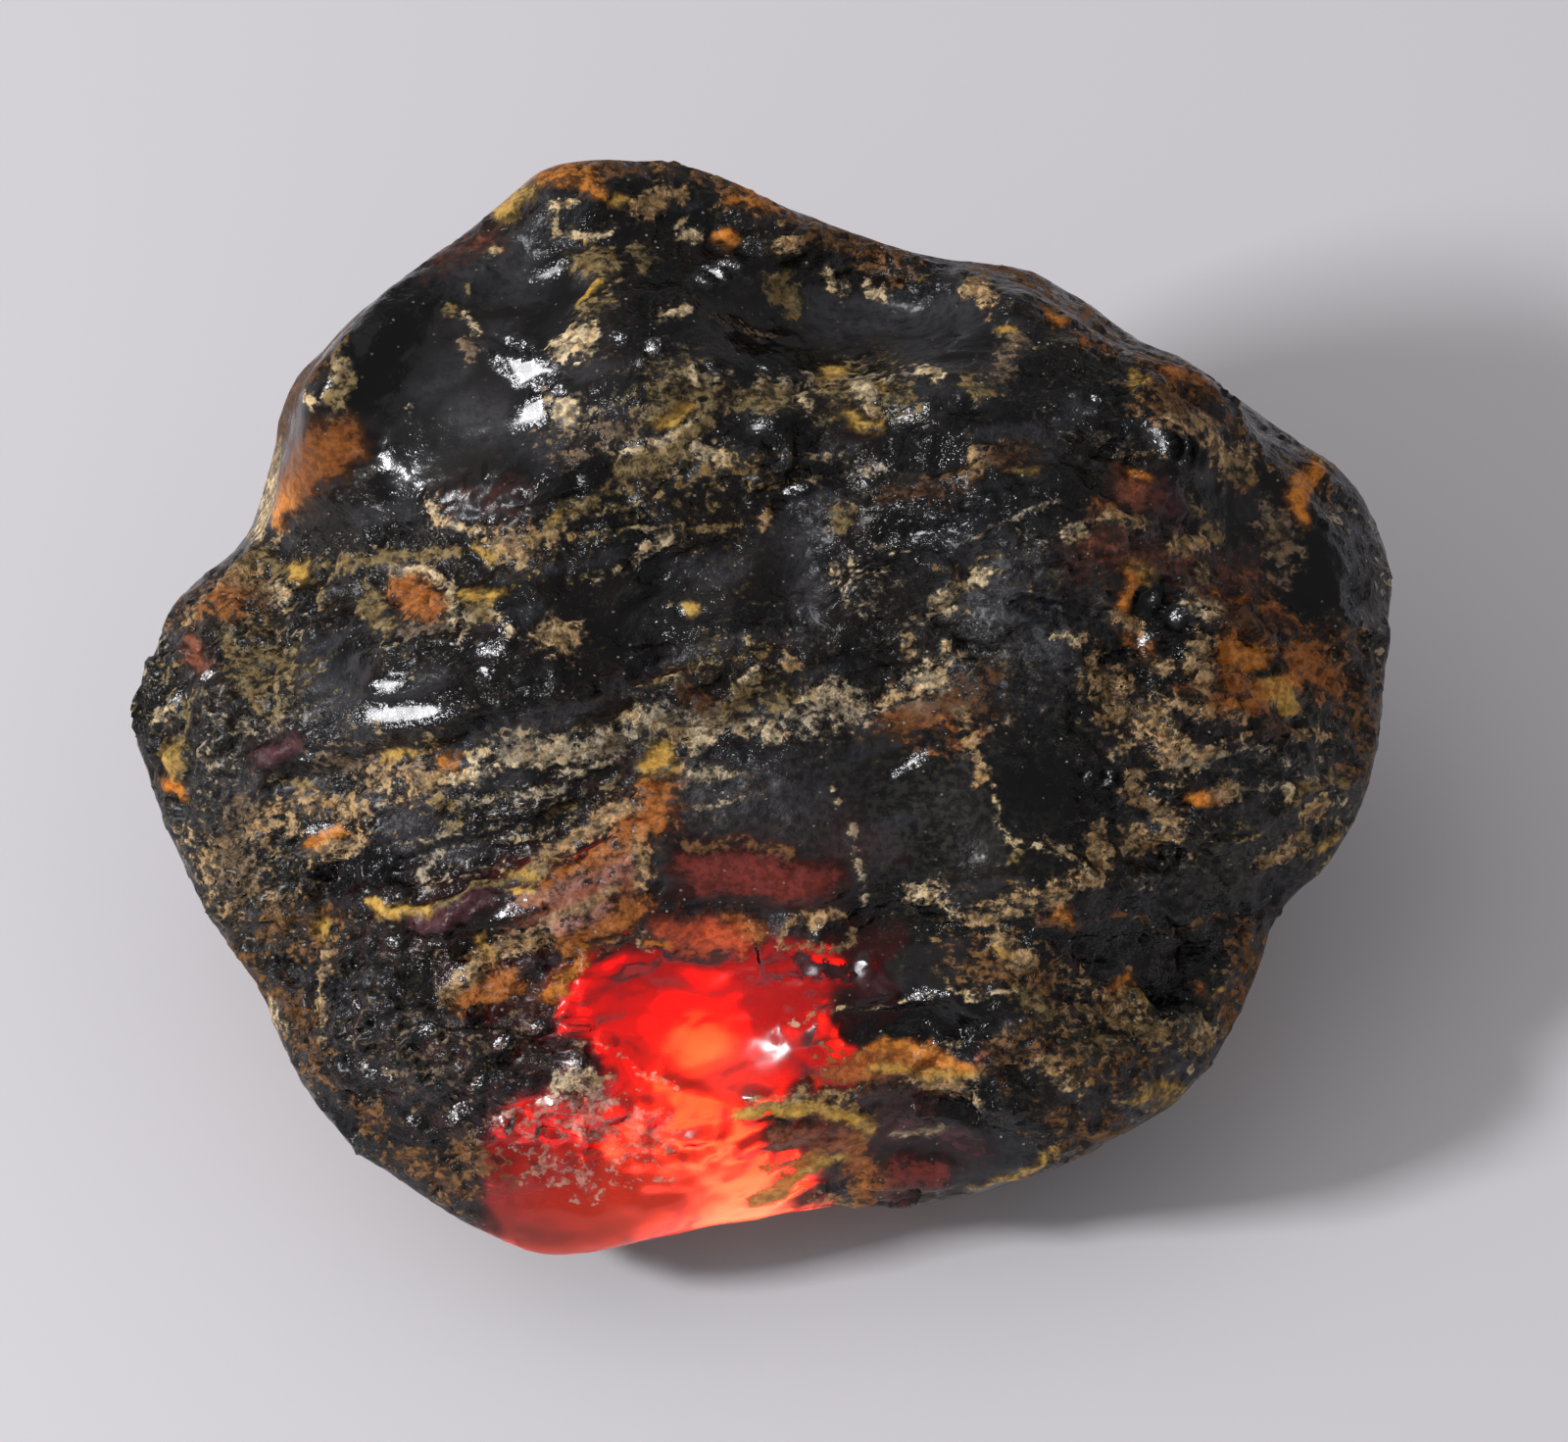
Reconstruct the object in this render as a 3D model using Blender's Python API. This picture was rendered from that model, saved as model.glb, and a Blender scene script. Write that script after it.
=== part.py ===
"""A lump of raw dark amber, as found: one solid piece that rests on a small flat spot.

The lump is a rounded block between broad worn faces. It is shaped around its middle in a seen frame:
across runs to the right, up runs up the seen face, and out points from the face towards the viewer, who
looks down at it. Its outline is drawn in that frame, and the scars, ridges and furrows of the seen face
are laid on it there. The hidden sides have worn faces and scars of their own.
"""

import math

import bmesh
import bpy
from mathutils import Matrix, Vector, noise

MM = 0.001

# Where the seen face looks, and how high the lump's middle stands over the flat spot
SEEN_ELEVATION = math.radians(55)
MIDDLE_HEIGHT = 12.5

ACROSS = Vector((1, 0, 0))
UP = Vector((0, math.sin(SEEN_ELEVATION), math.cos(SEEN_ELEVATION)))
OUT = Vector((0, -math.cos(SEEN_ELEVATION), math.sin(SEEN_ELEVATION)))

# Outline of the seen face in mm, (across, up), clockwise from the top. The lump is 50 mm across.
OUTLINE = [
    (-8.6, 21.4), (-7.1, 21.6), (-3.4, 21.7), (-2.1, 21.3), (0.0, 20.2), (2.5, 19.2), (5.2, 18.3),
    (7.2, 17.8), (10.3, 17.5), (12.2, 16.5), (15.1, 14.5), (17.2, 13.6), (18.1, 12.8), (21.8, 10.3),
    (23.4, 9.2), (24.5, 7.5), (25.1, 5.4), (25.1, 2.9), (24.7, 1.0), (24.8, -0.3), (24.0, -3.8),
    (22.6, -6.4), (20.4, -7.9), (20.2, -9.2), (19.5, -11.3), (18.0, -14.1), (15.6, -16.4), (13.9, -16.9),
    (12.2, -18.1), (9.2, -19.1), (6.5, -19.9), (2.1, -19.9), (-3.2, -20.8), (-7.5, -21.7), (-9.1, -21.6),
    (-12.6, -19.8), (-15.9, -17.6), (-17.8, -15.5), (-19.4, -12.6), (-19.6, -11.5), (-22.0, -8.4),
    (-23.9, -4.4), (-25.0, -0.8), (-25.0, 0.2), (-23.7, 3.5), (-23.4, 4.5), (-20.7, 6.3), (-19.7, 9.6),
    (-19.0, 12.8), (-15.6, 15.9), (-12.6, 18.0), (-10.1, 20.1),
]

# Worn faces: the way each one looks, as azimuth (0 is the front, 90 the right) and elevation in degrees,
# and its distance from the lump's middle in mm
WORN_FACES = [
    (0, 57, 11.6),
    (-4, 34, 14.0),
    (4, 4, 18.2),
    (-8, 80, 15.2),
    (180, 78, 16.6),
    (172, 46, 19.6),
    (184, 8, 17.8),
    (178, -38, 15.2),
    (90, 14, 24.0),
    (56, 40, 16.8),
    (96, -36, 18.4),
    (134, 20, 20.0),
    (-90, 4, 24.5),
    (-60, 42, 15.4),
    (-95, -40, 17.4),
    (-132, 24, 19.4),
    (40, 2, 20.0),
    (-42, 2, 19.5),
    (0, -60, 16.8),
    (0, -90, 13.0),
    (38, -46, 16.6),
    (-40, -46, 16.4),
]
EDGE_SHARPNESS = 11

# Swells all over: their size and height, in mm
SWELL, SWELL_HEIGHT = 9.0, 0.5
# Shell-like hollows all over, which meet in ridges: their size and depth in mm, how far they are drawn
# out along the lump, and how far they wander from even places, as a share of their size
HOLLOW, HOLLOW_DEPTH, HOLLOW_STRETCH, HOLLOW_WANDER = 5.2, 1.3, 1.5, 0.5
# Distances from a hollow's middle, as a share of its size: the top of the highest ridges, and where the
# surface is neither raised nor lowered
RIDGE_TOP, HOLLOW_LEVEL = 0.8, 0.55

# Scars of the seen face: a scoop with a crisp rim. Middle (across, up), half length, half width, all in mm,
# turn in degrees from across, and depth in mm. A negative depth is a boss.
SEEN_SCARS = {
    "left shoulder": (-11.8, 12.4, 8.0, 5.2, 52, 1.9),
    "shoulder boss": (-7.6, 13.4, 2.6, 1.6, 60, -0.5),
    "brow": (2.8, 14.9, 6.4, 2.4, -6, 1.6),
    "brow boss": (-1.4, 16.6, 2.8, 1.3, 8, -0.5),
    "right shoulder": (19.6, 6.8, 5.6, 2.9, 100, 1.3),
    "right boss": (16.2, 10.2, 2.2, 1.5, -35, -0.8),
    "dark hollow": (-4.6, 3.9, 4.8, 3.1, 18, 1.9),
    "dark hollow side": (1.2, 4.4, 3.0, 2.4, 70, 1.2),
    "upper step": (4.8, 9.9, 5.6, 2.2, 8, 1.0),
    "left lobe": (-15.0, 1.6, 7.2, 2.9, 8, -1.2),
    "left lobe scoop": (-17.0, 1.0, 2.6, 1.7, 110, 0.9),
    "left end lobe": (-21.6, 0.4, 3.6, 2.0, 84, -0.7),
    "flow trough": (-9.2, -4.3, 7.0, 2.2, 15, 1.2),
    "middle shell": (5.6, -4.3, 4.6, 3.8, 0, 1.2),
    "middle shell right": (11.6, -3.6, 2.9, 3.4, 20, 0.8),
    "right lobe": (18.6, -1.0, 6.6, 4.4, 96, -1.2),
    "upper right lobe": (12.4, 6.4, 4.6, 2.4, 30, -0.7),
    "window bowl": (-2.6, -12.4, 4.6, 3.3, 4, 2.0),
    "window lower wall": (-6.0, -17.0, 4.8, 2.5, 22, 0.8),
    "flake slit": (6.3, -12.8, 4.4, 1.3, -4, 0.8),
    "lower shell": (6.7, -17.2, 3.0, 1.9, 20, 1.0),
    "lower right hollow": (13.0, -11.6, 3.4, 2.3, -20, 0.9),
    "lower right lump": (16.6, -12.8, 2.6, 2.0, -50, -0.8),
    "lower left lump": (-13.0, -13.6, 4.8, 2.7, 12, -1.1),
    "lower left scoop": (-17.6, -9.6, 3.0, 1.8, 118, 0.9),
    "peak": (-4.4, -5.2, 2.2, 1.4, 75, -0.6),
}
RIM_ROUNDING = 0.12

# Furrows of the seen face: route (across, up), half width and depth, all in mm
SEEN_FURROWS = {
    "shoulder furrow": ([(-21.0, 6.2), (-17.0, 5.8), (-13.1, 5.4), (-8.8, 6.0), (-5.6, 8.4), (-2.2, 11.2),
                         (2.1, 12.4), (6.0, 12.2)], 1.4, 1.2),
    "belly furrow": ([(-20.0, -3.4), (-16.0, -3.2), (-12.6, -2.3), (-6.1, -1.2), (-1.2, -1.0), (1.7, 0.2),
                      (6.7, 1.3), (9.4, 3.8)], 1.1, 1.0),
    "flow furrow": ([(-17.6, -7.6), (-12.6, -6.6), (-8.4, -5.9), (-5.4, -4.2)], 1.0, 0.7),
    "right lobe furrow": ([(13.6, 4.2), (14.4, -1.0), (14.8, -4.6), (13.4, -7.4)], 1.1, 0.9),
    "window brow": ([(-11.0, -10.6), (-7.6, -9.8), (-4.2, -9.6), (-0.9, -9.4), (2.6, -8.8)], 1.1, 0.7),
    "right end furrow": ([(21.6, 3.6), (20.6, -0.6), (20.4, -4.2)], 1.1, 0.7),
    "left end furrow": ([(-18.8, 5.4), (-19.4, 1.0), (-20.4, -3.0)], 1.1, 0.8),
}
# Ledges of the seen face: route as above, half width of the step and its drop. The surface is lower on
# the right of the route, and the drop heals over HEALS_OVER.
SEEN_LEDGES = {
    "top ledge": ([(-13.0, 17.2), (-10.2, 18.5), (-6.9, 19.3), (-2.2, 19.0), (2.9, 17.4), (8.7, 15.6),
                   (13.4, 13.4)], 1.2, 1.7),
    "hollow ledge": ([(-4.4, 9.6), (-1.0, 8.8), (1.8, 8.4), (6.5, 7.2), (10.2, 5.6)], 1.1, 1.2),
    "notch ledge": ([(1.6, -7.0), (5.0, -7.6), (8.6, -7.4), (12.2, -8.2), (16.6, -8.3), (21.6, -7.6)],
                    1.2, 2.0),
    "left crest": ([(-15.6, -9.0), (-11.6, -9.4), (-7.6, -8.2)], 1.1, 0.8),
}
HEALS_OVER = 6.5
# A furrow or ledge starts and ends over this length
RUN_IN = 3.0
# Relief of the seen face dies away towards the outline, over about this share of the way and over the
# last of its height, in mm
RIM_SHARE, RIM_HEIGHT = 0.12, 2.0

# Scars of the hidden sides: azimuth, elevation and radius in degrees about the middle, and depth in mm
HIDDEN_SCARS = {
    "back shell": (176, 14, 30, 2.2),
    "back left shell": (-142, -4, 24, 1.8),
    "back right shell": (134, 2, 22, 1.6),
    "back top flake": (168, 54, 20, 1.2),
    "back low flake": (160, -34, 21, 1.4),
    "right low flake": (92, -24, 22, 1.3),
    "left low flake": (-88, -26, 22, 1.5),
    "window underside": (-16, -56, 27, 2.6),
    "front right underside": (36, -38, 20, 1.2),
    "back left low flake": (-150, -44, 18, 1.2),
}

# The mesh: squares along each side of the ball that the lump is drawn from
GRID = 28


def seen(p):
    """A point of the lump in the seen frame: (across, up, out)."""
    return Vector((p.dot(ACROSS), p.dot(UP), p.dot(OUT)))


def placed(s):
    """The point of the lump that seen() turns into s."""
    return s.x * ACROSS + s.y * UP + s.z * OUT


def facing(azimuth, elevation):
    a, e = math.radians(azimuth), math.radians(elevation)
    return Vector((math.sin(a) * math.cos(e), -math.cos(a) * math.cos(e), math.sin(e)))


FACES = [(facing(azimuth, elevation), distance) for azimuth, elevation, distance in WORN_FACES]
HIDDEN = [(facing(azimuth, elevation), math.radians(spread), depth)
          for azimuth, elevation, spread, depth in HIDDEN_SCARS.values()]


def smooth(t):
    t = min(max(t, 0.0), 1.0)
    return t * t * (3 - 2 * t)


def rim(t):
    """0 below 0 and t above it, with the corner between them rounded."""
    if t < -RIM_ROUNDING:
        return 0.0
    if t > RIM_ROUNDING:
        return t
    return (t + RIM_ROUNDING) ** 2 / (4 * RIM_ROUNDING)


# The block

# Where the same noise is read for each axis that the hollows wander along
WANDER_SHIFTS = [Vector((0, 0, 0)), Vector((20, 0, 0)), Vector((40, 0, 0))]


def uneven(p):
    """Height of the swells and hollows at a point, in mm."""
    drawn = Vector((p.x / HOLLOW_STRETCH, p.y, p.z)) / HOLLOW
    wander = Vector([noise.noise(drawn + shift) for shift in WANDER_SHIFTS])
    distances, _ = noise.voronoi(drawn + HOLLOW_WANDER * wander)
    from_middle = min(distances[0], RIDGE_TOP)
    return SWELL_HEIGHT * noise.noise(p / SWELL) + HOLLOW_DEPTH * (from_middle ** 2 - HOLLOW_LEVEL ** 2)


def block_radius(way):
    """Distance from the middle to the surface along a unit vector, with the hidden scars and the swells."""
    total = sum(max(way.dot(normal), 0.0) ** EDGE_SHARPNESS / distance ** EDGE_SHARPNESS
                for normal, distance in FACES)
    radius = total ** (-1 / EDGE_SHARPNESS)
    for axis, spread, depth in HIDDEN:
        radius -= depth * rim(1 - (way.angle(axis) / spread) ** 2)
    return radius + uneven(way * radius)


# The outline

OUTLINE_BY_ANGLE = sorted((math.atan2(up, across), across, up) for across, up in OUTLINE)


def outline_radius(angle):
    """Distance from the middle to the outline at an angle of the seen plane, in mm."""
    after = next((i for i, point in enumerate(OUTLINE_BY_ANGLE) if point[0] > angle), 0)
    _, x0, y0 = OUTLINE_BY_ANGLE[after - 1]
    _, x1, y1 = OUTLINE_BY_ANGLE[after]
    c, s = math.cos(angle), math.sin(angle)
    return (x0 * y1 - y0 * x1) / (c * (y1 - y0) - s * (x1 - x0))


REACH_STEPS = 360
LEANS = [math.radians(lean) for lean in range(-60, 61, 3)]


def block_reach():
    """How far the block reaches in the seen plane, for each of REACH_STEPS angles."""
    reach = []
    for step in range(REACH_STEPS):
        angle = 2 * math.pi * step / REACH_STEPS - math.pi
        flat = math.cos(angle) * ACROSS + math.sin(angle) * UP
        reach.append(max(block_radius(math.cos(a) * flat + math.sin(a) * OUT) * math.cos(a) for a in LEANS))
    return reach


def reach_at(reach, angle):
    at = (angle + math.pi) / (2 * math.pi) * REACH_STEPS
    low = int(at)
    share = at - low
    return reach[low % REACH_STEPS] * (1 - share) + reach[(low + 1) % REACH_STEPS] * share


def fit_outline(s, reach):
    """Moves a point in the seen plane so that the block's edge falls on the outline. Returns the point and
    how near the edge it is, from 0 at the middle to 1."""
    angle = math.atan2(s.y, s.x)
    edge = reach_at(reach, angle)
    near = min(math.hypot(s.x, s.y) / edge, 1.0)
    scale = 1 + (outline_radius(angle) / edge - 1) * near * near
    return Vector((s.x * scale, s.y * scale, s.z)), near


# Relief of the seen face

def scoop(s, scar):
    """Depth of one scar at a point of the seen plane."""
    across, up, half_length, half_width, turn, depth = scar
    c, n = math.cos(math.radians(turn)), math.sin(math.radians(turn))
    x, y = s.x - across, s.y - up
    share = ((x * c + y * n) / half_length) ** 2 + ((y * c - x * n) / half_width) ** 2
    return depth * (smooth(1 - share) if depth < 0 else rim(1 - share))


def beside(s, route):
    """Distance of a point of the seen plane from a route, above 0 on the right, and how fully the route
    has begun there, from 0 at its ends to 1."""
    p = Vector((s.x, s.y))
    points = [Vector(point) for point in route]
    whole = sum((b - a).length for a, b in zip(points, points[1:]))
    best, run, done = (math.inf, 0.0, 0.0), Vector(), 0.0
    for a, b in zip(points, points[1:]):
        run = b - a
        share = min(max((p - a).dot(run) / run.length_squared, 0.0), 1.0)
        offset = p - a - run * share
        if offset.length < best[0]:
            side = -1.0 if run.cross(offset) > 0 else 1.0
            best = (offset.length, side, done + share * run.length)
        done += run.length
    away, side, along = best
    return away * side, smooth(min(along, whole - along) / RUN_IN)


def furrow(s, line):
    route, half_width, depth = line
    away, begun = beside(s, route)
    return depth * begun * math.exp(-(away / half_width) ** 2)


def ledge(s, line):
    """A step down to the right of the route."""
    route, half_width, drop = line
    away, begun = beside(s, route)
    return drop * begun * smooth(0.5 + away / (2 * half_width)) * smooth(1 - away / HEALS_OVER)


def seen_relief(s):
    """Depth of the seen face's relief at a point of the seen plane, in mm."""
    return (sum(scoop(s, scar) for scar in SEEN_SCARS.values())
            + sum(furrow(s, line) for line in SEEN_FURROWS.values())
            + sum(ledge(s, line) for line in SEEN_LEDGES.values()))


# The mesh

def ball(bm):
    """A ball of even squares, whose rows run across the seen face: a cube's grid, warped outwards."""
    bmesh.ops.create_cube(bm, size=2)
    bmesh.ops.subdivide_edges(bm, edges=bm.edges[:], cuts=GRID - 1, use_grid_fill=True)
    for vert in bm.verts:
        vert.co = placed(Vector([math.tan(c * math.pi / 4) for c in vert.co]).normalized())


def shape_lump(bm):
    reach = block_reach()
    for vert in bm.verts:
        way = vert.co.copy()
        s, near = fit_outline(seen(way * block_radius(way)), reach)
        if s.z > 0:
            s.z -= seen_relief(s) * smooth((1 - near) / RIM_SHARE) * smooth(s.z / RIM_HEIGHT)
        vert.co = placed(s)


def flatten_foot(bm):
    """Lays everything below the height the lump rests at level: the flat spot."""
    for vert in bm.verts:
        vert.co.z = max(vert.co.z, -MIDDLE_HEIGHT)


def stand(bm):
    """Puts the origin at the middle of the lump's box, level with the flat spot, in metres."""
    xs = [v.co.x for v in bm.verts]
    ys = [v.co.y for v in bm.verts]
    foot = Vector(((min(xs) + max(xs)) / 2, (min(ys) + max(ys)) / 2, -MIDDLE_HEIGHT))
    bmesh.ops.transform(bm, verts=bm.verts[:], matrix=Matrix.Scale(MM, 4) @ Matrix.Translation(-foot))


def dark_amber():
    material = bpy.data.materials.new("dark amber")
    material.use_nodes = True
    shader = material.node_tree.nodes["Principled BSDF"]
    shader.inputs["Base Color"].default_value = (0.030, 0.014, 0.008, 1)
    shader.inputs["Metallic"].default_value = 0.0
    shader.inputs["Roughness"].default_value = 0.22
    shader.inputs["IOR"].default_value = 1.54
    return material


def build_lump():
    bm = bmesh.new()
    ball(bm)
    shape_lump(bm)
    flatten_foot(bm)
    bmesh.ops.triangulate(bm, faces=bm.faces[:])
    bmesh.ops.beautify_fill(bm, faces=bm.faces[:], edges=bm.edges[:], method="ANGLE")
    stand(bm)
    bmesh.ops.recalc_face_normals(bm, faces=bm.faces[:])
    mesh = bpy.data.meshes.new("amber_lump")
    bm.to_mesh(mesh)
    bm.free()
    mesh.materials.append(dark_amber())
    lump = bpy.data.objects.new("amber_lump", mesh)
    bpy.context.collection.objects.link(lump)


def main():
    for old in list(bpy.data.objects):
        bpy.data.objects.remove(old)
    build_lump()


main()
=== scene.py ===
"""The look of a lump of raw dark amber: glossy dark resin with crust in its furrows, honey-coloured
patches, and one clear patch that lets light from below through.

Places on the face that the camera sees are in the seen frame, in mm: across to the right, up the face
and out towards the viewer, from the lump's middle.
"""

import math

import bmesh
import bpy
import numpy as np
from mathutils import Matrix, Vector, noise


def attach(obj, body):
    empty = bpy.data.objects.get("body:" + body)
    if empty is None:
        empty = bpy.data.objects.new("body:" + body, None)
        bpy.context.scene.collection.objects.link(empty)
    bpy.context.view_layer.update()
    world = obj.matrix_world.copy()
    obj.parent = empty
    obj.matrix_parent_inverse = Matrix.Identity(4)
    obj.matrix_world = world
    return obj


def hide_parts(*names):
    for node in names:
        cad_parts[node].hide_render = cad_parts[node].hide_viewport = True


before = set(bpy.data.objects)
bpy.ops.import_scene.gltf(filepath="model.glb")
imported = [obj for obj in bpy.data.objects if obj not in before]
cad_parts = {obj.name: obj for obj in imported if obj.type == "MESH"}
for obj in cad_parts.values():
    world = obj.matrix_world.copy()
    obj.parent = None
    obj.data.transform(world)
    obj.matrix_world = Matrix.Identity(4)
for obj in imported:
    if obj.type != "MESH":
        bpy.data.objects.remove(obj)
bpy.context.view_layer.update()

MM = 0.001

# The seen frame
SEEN_ELEVATION = math.radians(55)
ACROSS = np.array((1, 0, 0))
UP = np.array((0, math.sin(SEEN_ELEVATION), math.cos(SEEN_ELEVATION)))
OUT = np.array((0, -math.cos(SEEN_ELEVATION), math.sin(SEEN_ELEVATION)))

# How far the outline reaches from the lump's middle to the left and up, and how high the middle stands
REACH_LEFT, REACH_UP, MIDDLE_HEIGHT = 25.0, 21.7, 12.5

# The colours of the crust and of the honey-coloured resin, and how waxy each is: 0 is matt and ragged
COLOURS = {
    "beige": ((0.56, 0.44, 0.27), 0.0),
    "tan": ((0.4, 0.27, 0.14), 0.0),
    "grey": ((0.36, 0.3, 0.21), 0.0),
    # Pink and rose are crust colours, made pinker and paler partly as painted glow from below and
    # painted glints near the clear patch
    "pink_and_painted_glow": ((0.34, 0.175, 0.145), 0.1),
    "taupe": ((0.17, 0.125, 0.085), 0.1),
    "olive": ((0.22, 0.160, 0.072), 0.3),
    "brown": ((0.17, 0.085, 0.035), 0.1),
    "umber": ((0.1, 0.048, 0.022), 0.4),
    "rust": ((0.36, 0.125, 0.030), 0.6),
    "orange": ((0.58, 0.210, 0.032), 0.8),
    "gold": ((0.52, 0.32, 0.070), 0.8),
    "rose_and_painted_glow": ((0.56, 0.31, 0.25), 0.3),
    "terracotta": ((0.18, 0.060, 0.012), 1.0),
    # Ember is red-orange resin whose brightness is a painted glow, standing for light from below
    # shining through
    "ember_painted_glow": ((0.56, 0.090, 0.032), 1.0),
    # Mahogany and wine are dark red resin colours; near the clear patch they also stand for painted
    # glow, light from below shining through
    "mahogany_and_painted_glow": ((0.24, 0.078, 0.042), 0.9),
    "wine_and_painted_glow": ((0.15, 0.026, 0.020), 1.0),
    "mauve": ((0.070, 0.024, 0.030), 1.0),
}

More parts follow.
